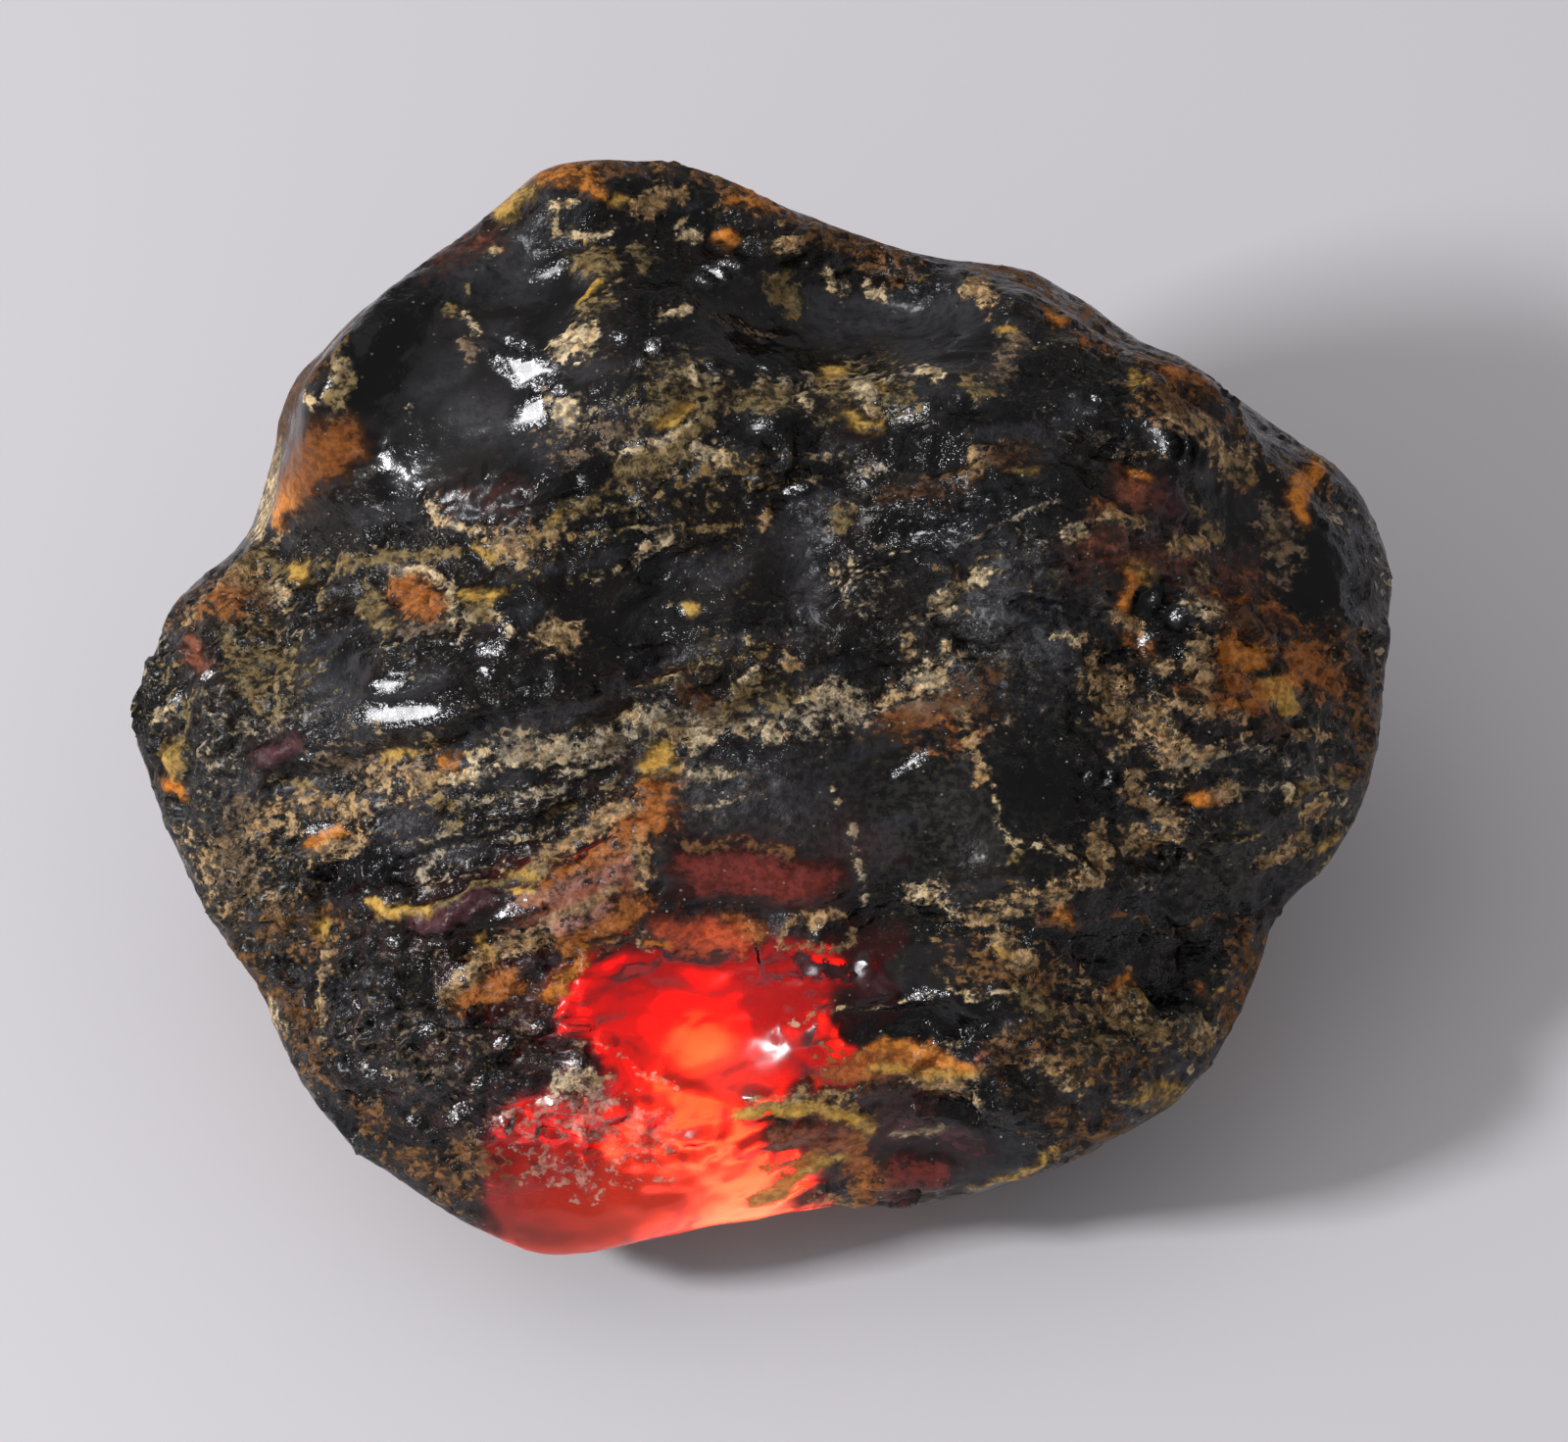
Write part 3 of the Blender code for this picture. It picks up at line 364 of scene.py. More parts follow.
    ("brown", 0.62, 0.25, [(12.6, -8.2), (16.4, -8.5), (19.9, -8.4)]),
    ("tan", 0.85, 0.45, [(9.2, -9.2), (10.2, -10.2)]),
    ("gold", 0.8, 0.22, [(9.2, -9.7), (9.8, -10.0)]),
    ("olive", 0.8, 0.45, [(9.9, -11.4), (11.4, -12.0)]),
    ("tan", 0.74, 0.8, [(12.6, -11.0), (14.8, -11.9)]),
    ("orange", 0.85, 0.26, [(13.8, -11.0), (14.6, -10.8)]),
    ("gold", 0.8, 0.26, [(15.0, -11.2), (15.4, -11.6)]),
    ("rust", 0.8, 0.26, [(16.9, -11.0), (17.4, -11.4)]),
    ("gold", 1.0, 0.14, [(18.0, -11.4), (18.2, -11.4)]),
    ("olive", 0.66, 0.8, [(12.8, -13.0), (15.2, -12.6), (17.0, -12.8)]),
    ("tan", 0.75, 0.35, [(16.2, -13.2), (17.6, -12.8)]),
    ("brown", 0.7, 0.8, [(19.0, -9.0), (19.6, -10.6), (18.8, -12.2)]),
    ("tan", 0.8, 0.45, [(11.4, -14.2), (12.3, -14.9)]),
    ("beige", 0.85, 0.28, [(7.0, -13.1), (7.5, -13.0)]),
    ("beige", 0.8, 0.32, [(8.4, -14.8), (8.7, -15.5)]),
    ("mahogany_and_painted_glow", 0.8, 0.26, [(8.3, -13.7), (8.8, -13.7)]),
    ("gold", 0.66, 0.35, [(14.8, -15.6), (16.4, -15.1)]),
    ("brown", 0.62, 0.6, [(11.6, -17.6), (13.8, -16.6)]),
    ("gold", 0.7, 0.26, [(8.2, -19.0), (9.6, -18.5), (11.4, -17.9)]),
    ("brown", 0.66, 0.8, [(9.4, -16.0), (11.4, -16.4)]),
    ("brown", 0.54, 1.1, [(8.0, -10.0), (11.0, -10.8), (14.0, -11.6)]),
    ("brown", 0.54, 1.2, [(7.0, -14.8), (11.0, -13.4), (14.6, -13.8)]),
]

# Where the resin is clear, as marks without a colour: fullness, half width and route
CLEAR = [
    (1.0, 3.2, [(-4.0, -12.6), (-1.8, -13.0)]),
    (1.0, 1.6, [(-6.4, -11.6), (1.4, -10.6)]),
    (1.0, 2.2, [(-9.0, -17.2), (-6.0, -17.4), (-2.0, -16.6)]),
    (1.0, 1.8, [(-9.4, -19.2), (-8.6, -20.6), (-3.0, -20.2), (1.0, -19.4)]),
    (0.4, 1.2, [(-3.4, -8.6), (0.4, -8.6)]),
    (0.9, 1.5, [(1.6, -12.6), (3.2, -13.6)]),
    (0.5, 1.2, [(5.0, -18.4), (7.6, -18.4)]),
]
# Smooth glossy scars
GLOSSY = [
    (1.0, 4.0, [(-15.8, 10.8), (-12.0, 12.4), (-9.6, 14.0)]),
    (0.9, 1.8, [(-1.2, 15.0), (3.2, 14.9), (7.6, 14.6)]),
    (0.5, 2.2, [(-6.6, 3.2), (-3.0, 4.2), (0.6, 5.0)]),
    (0.7, 3.2, [(4.6, -3.8), (8.6, -4.6)]),
    (0.9, 1.6, [(18.2, 9.2), (19.6, 6.4), (21.4, 5.4)]),
    (1.0, 3.2, [(-3.2, -12.4), (-1.6, -12.6)]),
    (0.9, 1.6, [(3.0, -10.2), (7.6, -10.8)]),
    (0.9, 1.3, [(-2.6, -5.6), (2.2, -6.4)]),
    (0.8, 1.2, [(-16.6, 1.6), (-14.0, 0.2)]),
    (1.0, 1.6, [(-9.6, -20.2), (-1.0, -19.6)]),
    (0.9, 1.2, [(4.6, -17.6), (8.6, -18.3)]),
]
# Where the resin has run in fine streaks, and where it stands in small lumps
STREAKED = [
    (1.0, 2.8, [(-15.6, -5.6), (-9.6, -4.0), (-4.4, -2.4)]),
    (1.0, 2.4, [(-19.4, 0.6), (-14.6, 0.8), (-10.0, 1.8)]),
    (1.0, 3.0, [(-1.0, 9.6), (5.0, 10.6), (12.0, 8.8)]),
    (0.9, 1.8, [(-9.6, 6.6), (-4.0, 8.6), (0.6, 8.0)]),
    (0.8, 2.2, [(4.0, 13.8), (10.0, 13.0)]),
    (0.8, 2.0, [(4.0, -9.6), (9.0, -10.0)]),
    (0.9, 1.8, [(15.4, -4.6), (21.6, -3.8)]),
]
LUMPY = [
    (1.0, 1.9, [(-16.2, -12.6), (-12.4, -14.0), (-8.6, -13.2)]),
    (0.8, 1.8, [(-8.8, -15.8), (-3.4, -17.6)]),
    (0.7, 3.2, [(14.4, 5.0), (17.4, 0.4)]),
    (0.6, 2.0, [(11.0, -10.6), (15.0, -12.0)]),
    (0.7, 2.0, [(-22.6, -1.0), (-20.6, -7.0)]),
]

# Where the resin is dull with fine dust
DUSTY = [
    (0.9, 2.6, [(6.4, -4.4), (8.2, -4.0)]),
    (0.7, 2.2, [(-1.6, -3.4), (2.6, -3.8)]),
    (0.8, 2.4, [(15.0, -7.6), (20.6, -6.6)]),
    (0.7, 2.6, [(8.6, 2.0), (12.4, 4.0)]),
    (0.8, 2.6, [(-21.4, -4.0), (-20.0, -9.0)]),
    (0.6, 2.2, [(12.6, -14.0), (17.6, -13.0)]),
]
# Where a thin grey skin gives the resin a soft sheen: rougher resin, with a grey painted sheen in its
# colour
HAZY_AND_PAINTED_SHEEN = [
    (0.8, 0.9, [(-11.8, 17.6), (-9.6, 17.0)]),
    (0.8, 0.8, [(-11.6, 11.6), (-8.2, 10.4)]),
    (0.6, 0.4, [(-13.4, 12.1), (-11.6, 13.5)]),
    (0.9, 0.9, [(2.0, 15.6), (4.5, 15.2), (7.8, 15.6)]),
    (0.7, 0.6, [(5.4, 14.0), (6.2, 14.0)]),
    (0.7, 0.5, [(8.6, 12.8), (10.0, 14.0)]),
    (0.8, 0.8, [(1.2, 6.3), (1.9, 4.2)]),
    (0.7, 1.6, [(8.4, 5.2), (11.6, 2.6)]),
    (0.8, 0.8, [(-17.4, 0.9), (-15.7, -0.9)]),
    (0.7, 0.8, [(-14.2, -4.8), (-13.2, -4.6)]),
    (0.6, 1.4, [(-2.6, -3.2), (2.0, -3.8)]),
    (0.7, 0.5, [(15.2, 8.2), (16.0, 7.8)]),
    (0.7, 0.5, [(20.2, -7.0), (21.8, -7.0)]),
    (0.7, 0.6, [(15.8, -14.6), (17.4, -13.6)]),
    (0.25, 1.8, [(-15.6, -12.8), (-12.4, -14.4), (-9.0, -13.4)]),
]
# Where the resin stays black and bare
BLACK = [
    (1.0, 0.8, [(-8.3, 16.4), (-7.9, 15.1)]),
    (1.0, 0.6, [(-2.4, 14.75), (-0.8, 13.8), (1.9, 13.4)]),
    (1.0, 1.0, [(6.9, 14.9), (7.7, 14.9)]),
    (1.0, 0.8, [(5.2, 10.4), (7.3, 9.9)]),
    (0.9, 0.6, [(-1.4, 10.7), (1.6, 10.7)]),
    (1.0, 0.9, [(5.4, 6.9), (7.8, 7.2), (9.6, 8.1), (11.5, 8.6)]),
    (1.0, 1.0, [(-4.3, 4.6), (-4.7, 2.6)]),
    (1.0, 0.6, [(-1.2, -1.5), (0.2, -1.9)]),
    (1.0, 0.9, [(10.0, -3.0), (12.5, -4.0)]),
    (1.0, 0.8, [(-16.4, -6.4), (-15.4, -6.4)]),
    (1.0, 0.6, [(19.6, 10.9), (20.3, 10.4)]),
    (1.0, 0.5, [(17.7, 8.4), (18.0, 8.2)]),
    (1.0, 0.9, [(22.3, 6.1), (21.7, 4.2)]),
    (0.9, 0.8, [(15.3, 4.0), (15.6, 2.8)]),
    (1.0, 0.3, [(19.8, -0.6), (20.2, -0.6)]),
    (0.9, 0.3, [(12.2, -8.0), (16.0, -8.2), (19.9, -7.9)]),
    (0.6, 1.2, [(12.0, -8.8), (17.4, -9.4)]),
    (1.0, 0.7, [(15.8, -11.0), (16.6, -11.0)]),
    (0.8, 1.1, [(9.2, -16.1), (10.2, -16.1)]),
    (0.4, 1.7, [(-16.0, -12.8), (-12.4, -14.4), (-8.8, -13.4)]),
    (1.0, 0.7, [(3.7, -12.2), (8.9, -12.4)]),
    (1.0, 1.6, [(-13.4, 16.0), (-14.8, 13.4), (-13.4, 10.6)]),
    (0.8, 0.9, [(-9.6, 9.8), (-7.0, 8.6)]),
    (0.8, 0.8, [(21.0, 5.4), (22.6, 4.2)]),
]

# The way a facet faces when it catches the window light, in the seen frame
CATCHING = (-0.434, 0.068, 0.899)
# A facet that would stand out or sink by more than half of this, in mm, is laid in ribs of that height.
# Each facet stands out by this share of its half width, so that what is round it doesn't shade it.
RIB_HEIGHT, FACET_LIFT = 0.9, 0.2
# Small facets that catch the light: place, half length, half width and turn in degrees
FACETS = [
    (-9.1, 13.2, 1.5, 0.75, 136),
    (-8.8, 11.6, 1.1, 0.6, 40),
    (-8.3, 17.1, 0.8, 0.35, 30),
    (-5.6, 14.4, 0.3, 0.25, 0),
    (-4.3, 14.0, 0.6, 0.3, 50),
    (-1.8, 17.0, 0.9, 0.45, 20),
    (-2.1, 13.1, 0.9, 0.3, 5),
    (0.4, 13.4, 0.6, 0.3, 10),
    (13.0, 12.0, 0.35, 0.25, 0),
    (16.1, 10.3, 1.2, 0.6, -28),
    (5.9, 11.4, 0.7, 0.3, 25),
    (-0.2, 10.8, 0.5, 0.25, 8),
    (-5.1, 10.1, 0.5, 0.3, 0),
    (1.2, 8.4, 0.6, 0.25, 15),
    (3.9, 8.8, 0.3, 0.25, 0),
    (-14.0, -0.3, 2.0, 0.5, 3),
    (-14.6, 0.8, 0.8, 0.3, 9),
    (-10.5, 2.2, 0.7, 0.35, 15),
    (-10.8, 1.3, 0.35, 0.3, 0),
    (-10.0, 3.0, 0.5, 0.3, 80),
    (-21.8, 1.2, 0.35, 0.25, 30),
    (-23.0, 0.1, 0.5, 0.4, 120),
    (-17.7, -2.0, 0.6, 0.25, 20),
    (-17.3, -4.8, 0.7, 0.25, 10),
    (-14.4, -9.2, 0.35, 0.25, 0),
    (-12.7, -9.2, 0.35, 0.25, 0),
    (6.2, -0.1, 0.6, 0.25, 5),
    (5.8, -2.3, 0.9, 0.25, 25),
    (15.3, 4.2, 0.3, 0.3, 0),
    (16.1, 3.4, 0.3, 0.3, 0),
    (14.9, 2.6, 0.35, 0.3, 20),
    (20.3, 1.4, 0.3, 0.3, 0),
    (13.4, -2.8, 0.5, 0.3, 10),
    (2.1, -8.6, 0.5, 0.35, 79),
    (2.0, -10.4, 0.3, 0.25, 0),
    (3.9, -10.2, 0.5, 0.35, 60),
    (6.3, -11.3, 1.1, 0.25, 2),
    (-9.5, -7.8, 1.2, 0.3, 22),
    (-11.9, -10.5, 0.7, 0.3, 24),
    (-8.0, -8.5, 0.5, 0.3, 93),
    (-10.2, -13.1, 0.4, 0.3, 20),
    (-15.4, -14.2, 0.5, 0.3, 130),
    (-7.4, -14.0, 0.4, 0.3, 40),
    (-13.1, -12.6, 0.35, 0.25, 20),
    (-15.8, -11.7, 0.35, 0.25, 70),
    (-14.6, -14.4, 0.35, 0.25, 110),
    (-8.8, -12.6, 0.35, 0.25, 15),
    (-11.2, -14.7, 0.4, 0.25, 50),
    (-13.7, -16.2, 0.35, 0.25, 130),
    (-7.3, -16.5, 0.35, 0.25, 0),
    (-11.9, -15.9, 0.7, 0.35, 45),
    (-10.3, -16.3, 0.4, 0.3, 0),
    (-8.3, -15.4, 0.7, 0.4, 14),
    (-0.5, -15.2, 0.35, 0.25, 0),
]

# Ridges and dips of the seen face: height in mm, half width and route
RIDGES = [
    (0.55, 0.7, [(4.1, 4.3), (6.7, 5.8), (9.1, 7.4), (12.0, 8.4)]),
    (0.14, 0.4, [(-7.7, -11.3), (-6.9, -10.7), (-4.5, -10.3), (-2.2, -10.9), (0.9, -9.5)]),
    (0.16, 0.35, [(-7.3, -12.8), (-5.3, -13.2), (-3.4, -15.0), (-1.4, -15.6), (0.5, -15.2)]),
    (-0.35, 0.45, [(1.5, -12.3), (4.5, -12.1), (7.5, -12.4)]),
    (-0.7, 0.5, [(16.0, -10.9), (16.3, -10.9)]),
    (-0.45, 0.8, [(-0.6, 6.6), (1.6, 7.6), (3.4, 8.6)]),
    (-0.35, 0.5, [(-19.4, -3.2), (-15.0, -2.2), (-11.4, -1.4)]),
]

# The mesh of the body, in mm, before the seen side is made finer
MESH_GRAIN = 0.42
SOFTENING_PASSES = 5
# The seen side, for its finer mesh: faces turned this much to the viewer, and up to so many mm behind
# the lump's middle
FINE_FACING, FINE_DEPTH = 0.12, 2.0

# The fine relief, in mm: size along the flow, over it and into the lump, and height
SCARS, SCAR_HEIGHT = (4.2, 2.4, 3.0), 0.5
SMALL_SCARS, SMALL_SCAR_HEIGHT = (1.7, 1.0, 1.3), 0.2
CHIPS, CHIP_HEIGHT = (3.0, 1.8, 2.2), 1.15
SMALL_CHIPS, SMALL_CHIP_HEIGHT, LUMPY_CHIP_HEIGHT = (1.1, 0.8, 0.9), 0.44, 0.25
STREAKS, STREAK_HEIGHT = (5.0, 0.5, 1.4), 0.14
LUMPS, LUMP_HEIGHT = 1.3, 0.6
CRUST_GRAINS, GRAIN_HEIGHT, CRUST_HEIGHT = 0.8, 0.2, 0.08
SCOOPS, SCOOP_HEIGHT = (8.0, 7.0, 7.0), 0.5
# How strongly tan and rust tint the crust of the hidden sides, beside the marks' own strength of 1
HIDDEN_WEIGHT = 0.02

# Middle in the plane it rests on, and radius, of the frosted hollow in the underside, in mm
FROST_PLACE, FROST_RADIUS = (-3.0, -8.0), 10.0

# The film on the resin: smoky, warm, dusty, and the grey of a painted sheen
SMOKY_FILM, WARM_FILM = (0.0030, 0.0030, 0.0032, 1), (0.011, 0.0068, 0.0052, 1)
DUSTY_FILM, PAINTED_SHEEN_FILM = (0.048, 0.047, 0.040, 1), (0.060, 0.060, 0.068, 1)
FILM_IOR = 1.34
# How much of the crust's colour the stain round it has, and what turns that colour to honey
STAIN, HONEY = 0.26, (0.95, 0.74, 0.42)
# Pale specks: dust, and partly painted pinpoint glints
DUST_AND_GLINTS = (0.46, 0.42, 0.33, 1)
# The resin's smoky skin, the resin where it is clear, and the colour it lets through
DARK_SKIN, BROWN_SKIN = (0.012, 0.007, 0.006, 1), (0.040, 0.018, 0.014, 1)
CLEAR_RESIN, RESIN_IOR = (0.95, 0.9, 0.88, 1), 1.54
PASSING_COLOUR, ABSORPTION = (0.82, 0.27, 0.10, 1), 600.0
# Grains of crust and dust, and chips of resin, to the mm
GRAINS_PER_MM = 3.4

# The floor it rests on, and the light of the room
FLOOR_HALF, FLOOR_COLOUR, FLOOR_ROUGHNESS = 2.0, (0.89, 0.87, 0.90, 1), 0.7
ROOM_COLOUR, ROOM_STRENGTH = (1.0, 0.97, 1.0, 1), 0.29
# Soft lights: name, azimuth and elevation in degrees, distance and size in m, watts and colour
SOFT_LIGHTS = [
    ("window light", -72, 35, 0.5, (0.08, 0.055), 1.6, (0.97, 0.97, 1.0)),
    ("wide soft light", -100, 60, 0.6, (0.7, 0.6), 0.48, (0.98, 0.97, 1.0)),
]
# Lamps that shine up through the clear patch: name, size in mm, watts, place in mm and colour
LAMPS_BELOW = [
    ("spot below", 4.8, 0.0037, (-2.6, -6.2, 0.25), (1.0, 0.8, 0.6)),
    ("spot edge below", 8.5, 0.0010, (-2.8, -5.0, 0.2), (1.0, 0.6, 0.4)),
    ("glow below", 18, 0.0026, (-3.0, -0.8, 0.1), (1.0, 0.7, 0.7)),
    ("front glow below", 14, 0.0006, (-4.4, -7.4, 0.15), (1.0, 0.5, 0.3)),
]

# The photograph's frame: its width in mm at the lump's middle, and how far the frame's middle is right
# of and above the lump's middle
FRAME_WIDTH = 62.2
AIM_ACROSS, AIM_UP = 0.89, -0.6
# The camera: distance and sensor width in mm, and the nearest and furthest that it sees in m
CAMERA_AWAY, SENSOR_WIDTH = 600, 36
CLIPPING = 0.01, 10


def distance(s, route):
    """Distance of each point of the seen plane from a route."""
    p = s[:, :2]
    best = np.full(len(p), np.inf)
    for a, b in zip(route, route[1:]):
        a, run = np.array(a), np.subtract(b, a)
        share = np.clip((p - a) @ run / (run @ run), 0, 1)
        best = np.minimum(best, np.linalg.norm(p - a - share[:, None] * run, axis=1))
    return best


def stroke(s, fullness, half_width, route):
    """A soft stroke: its fullness along the route, half of it one half width away."""
    return fullness * np.exp(-0.7 * (distance(s, route) / half_width) ** 2)


def strokes(surface, table):
    """How strongly the strokes of a table cover each point of the seen side."""
    return np.max([stroke(surface.wandered, *row) for row in table], axis=0) * surface.shown


def smooth(t):
    t = np.clip(t, 0, 1)
    return t * t * (3 - 2 * t)


def rough(points, size, shift=0.0):
    """Noise from -1 to 1 at points in mm, of that size."""
    return np.array([noise.noise(Vector(p)) for p in points / np.array(size) + shift])


def ridged(points, size, shift=0.0):
    """Noise with sharp crests: 1 on a crest, falling to 0."""
    return 1 - np.minimum(np.abs(rough(points, size, shift)) * 2.2, 1)


def shells(points, size):
    """Shell-like hollows that meet in ridges: 0 in a hollow's middle, near 1 on a ridge."""
    return np.array([min(noise.voronoi(Vector(p))[0][0], 1) ** 2 for p in points / np.array(size)])


def chipped(points, size):
    """Heights of flat chips that each lean their own way, from about -0.4 to 0.4."""
    heights = np.empty(len(points))
    for i, p in enumerate(points / np.array(size)):
        nearest = noise.voronoi(Vector(p))[1][0]
        lean = noise.cell_vector(nearest) - Vector((0.5, 0.5, 0.5))
        heights[i] = lean.dot(Vector(p) - nearest)
    return heights


class Surface:
    """The points of a mesh, in mm, with their place in the seen frame."""

    def __init__(self, mesh, middle):
        self.mesh = mesh
        self.points = self.read("co") / MM
        self.normals = self.read("normal")
        from_middle = self.points - middle
        self.seen = np.column_stack([from_middle @ ACROSS, from_middle @ UP, from_middle @ OUT])
        # 1 on the seen side and 0 on the hidden one
        self.shown = smooth((self.normals @ OUT + 0.3) / 0.35)
        wander = 0.55 * np.column_stack([rough(self.points, 2.6), rough(self.points, 2.6, 40)])
        wander += 0.30 * np.column_stack([rough(self.points, 0.9), rough(self.points, 0.9, 40)])
        self.wandered = self.seen[:, :2] + wander
        # Along and over the bands in which the resin flowed, which rise to the right and then fall
        bend = 0.22 * self.seen[:, 0] - 0.015 * np.maximum(self.seen[:, 0] - 2, 0) ** 2
        self.flow = np.column_stack([self.seen[:, 0], self.seen[:, 1] - bend, self.seen[:, 2]])

    def read(self, name):
        values = np.empty(len(self.mesh.vertices) * 3, np.float32)
        self.mesh.vertices.foreach_get(name, values)
        return values.reshape(-1, 3).astype(float)

    def move(self, heights, forward):
        """Moves each point along its normal and towards the viewer, in mm."""
        moved = self.points + self.normals * heights[:, None] + forward[:, None] * OUT
        moved[:, 2] = np.maximum(moved[:, 2], 0)
        self.mesh.vertices.foreach_set("co", (moved * MM).astype(np.float32).ravel())
        self.mesh.update()

    def store(self, name, values):
        attribute = self.mesh.attributes.new(name, "FLOAT", "POINT")
        attribute.data.foreach_set("value", values.astype(np.float32))

    def store_colour(self, name, colours):
        attribute = self.mesh.attributes.new(name, "FLOAT_COLOR", "POINT")
        with_alpha = np.column_stack([colours, np.ones(len(colours))])
        attribute.data.foreach_set("color", with_alpha.astype(np.float32).ravel())


def laid_facets(surface):
    """How far each point moves towards the viewer to lay the facets, and how much of one it is on."""
    depth = surface.seen[:, 2]
    shift, cover = np.zeros(len(depth)), np.zeros(len(depth))
    slope = -np.array(CATCHING[:2]) / CATCHING[2]
    facing = smooth((surface.normals @ OUT - 0.2) / 0.35)
    for across, up, half_length, half_width, turn in FACETS:
        offset = surface.seen[:, :2] - (across, up)
        a = math.radians(turn)
        along, over = offset @ (math.cos(a), math.sin(a)), offset @ (-math.sin(a), math.cos(a))
        from_middle = np.hypot(along / half_length, over / half_width)
        weight = smooth((1.8 - from_middle) / 1.1) * facing * surface.shown
        plane = (depth * weight).sum() / max(weight.sum(), 1e-9) + offset @ slope
        gap = plane - depth - shift
        lift = FACET_LIFT * half_width
        shift += ((gap + RIB_HEIGHT / 2) % RIB_HEIGHT - RIB_HEIGHT / 2 + lift) * weight
        cover = np.maximum(cover, weight)
    return shift, cover


def lump_middle(mesh):
    """The lump's middle in mm, from how far the solid reaches to the left and up the seen face."""
    points = np.array([v.co for v in mesh.vertices]) / MM
    across = points[:, 0].min() + REACH_LEFT
    height_up = (points @ UP).max() - REACH_UP
    return np.array([across, (height_up - MIDDLE_HEIGHT * UP[2]) / UP[1], MIDDLE_HEIGHT])


def soften(bm):
    bmesh.ops.smooth_vert(bm, verts=bm.verts[:], factor=0.5,
                          use_axis_x=True, use_axis_y=True, use_axis_z=True)


def even_copy(node, middle):
    """A copy of the solid in an even mesh, finer on the seen side."""
    bm = bmesh.new()
    bm.from_mesh(node.data)
    bmesh.ops.remove_doubles(bm, verts=bm.verts[:], dist=1e-6)
    merged = bpy.data.meshes.new("merged")
    bm.to_mesh(merged)
    bm.free()
    shape = bpy.data.objects.new("merged", merged)
    bpy.context.scene.collection.objects.link(shape)
    remesh = shape.modifiers.new("even", "REMESH")
    remesh.mode = "VOXEL"
    remesh.voxel_size = MESH_GRAIN * MM
    bpy.context.view_layer.update()
    evaluated = shape.evaluated_get(bpy.context.evaluated_depsgraph_get())
    bm = bmesh.new()
    bm.from_mesh(evaluated.to_mesh())
    evaluated.to_mesh_clear()
    bpy.data.objects.remove(shape)
    for _ in range(SOFTENING_PASSES):
        soften(bm)
    bm.normal_update()
    out, base = Vector(OUT), Vector(middle) * MM
    seen_faces = [f for f in bm.faces if f.normal.dot(out) > FINE_FACING
                  and (f.calc_center_median() - base).dot(out) > -FINE_DEPTH * MM]
    edges = list(dict.fromkeys(e for f in seen_faces for e in f.edges))
    bmesh.ops.subdivide_edges(bm, edges=edges, cuts=1, use_grid_fill=True)
    soften(bm)
    bmesh.ops.triangulate(bm, faces=[f for f in bm.faces if len(f.verts) > 4])
    mesh = bpy.data.meshes.new("amber_body")
    bm.to_mesh(mesh)
    bm.free()
    mesh.shade_smooth()
    return mesh


def colour_marks(surface, bare):
    """How crusted each point is, the colour of its crust, and how waxy that is.

    Where the resin is bare, only the marks lie on it.
    """
    hidden = 1 - surface.shown
    mottle = rough(surface.points, 5.0, 7)
    # Crust caught in creases that run along the flow, more in some regions than in others
    crease = smooth((ridged(surface.flow, (5.0, 1.5, 3.0), 60) - 0.72) / 0.28)
    region = smooth(0.55 + 1.3 * rough(surface.points, 7.0, 25))
    sparse = 0.04 + 0.10 * region + 0.42 * crease * region
    # The hidden sides have more of it, in bands along the flow and in patches
    bands = smooth((ridged(surface.flow, (8.0, 2.4, 2.8), 80) - 0.6) / 0.35)
    patches = smooth(0.05 + 2.4 * rough(surface.points, (4.5, 2.4, 3.0), 15))
    crust = (sparse + np.maximum(0.68 * bands * region, 0.62 * patches) * hidden) * (1 - bare)
    # The colours by weight: grey and olive under all, tan and rust on the hidden sides, then the marks
    weight = np.full(len(crust), 0.004)
    plain = smooth(0.5 + 2.2 * mottle)[:, None]
    tint = weight[:, None] * (plain * COLOURS["grey"][0] + (1 - plain) * COLOURS["olive"][0])
    earthy = smooth(0.5 + 2.5 * rough(surface.points, 3.2, 18)) * hidden * HIDDEN_WEIGHT
    rusty = smooth((rough(surface.points, 4.0, 90) - 0.3) * 6) * hidden * HIDDEN_WEIGHT
    tint += earthy[:, None] * COLOURS["tan"][0] + rusty[:, None] * COLOURS["rust"][0]
    weight += earthy + rusty
    waxy = rusty * COLOURS["rust"][1]
    for colour, fullness, half_width, route in MARKS:
        mask = stroke(surface.wandered, fullness, half_width, route) * surface.shown
        crust = np.maximum(crust, mask)
        share = mask ** 3 / half_width
        rgb, wax = COLOURS[colour]
        tint += share[:, None] * rgb
        waxy += share * wax
        weight += share
    return crust, tint / weight[:, None], waxy / weight


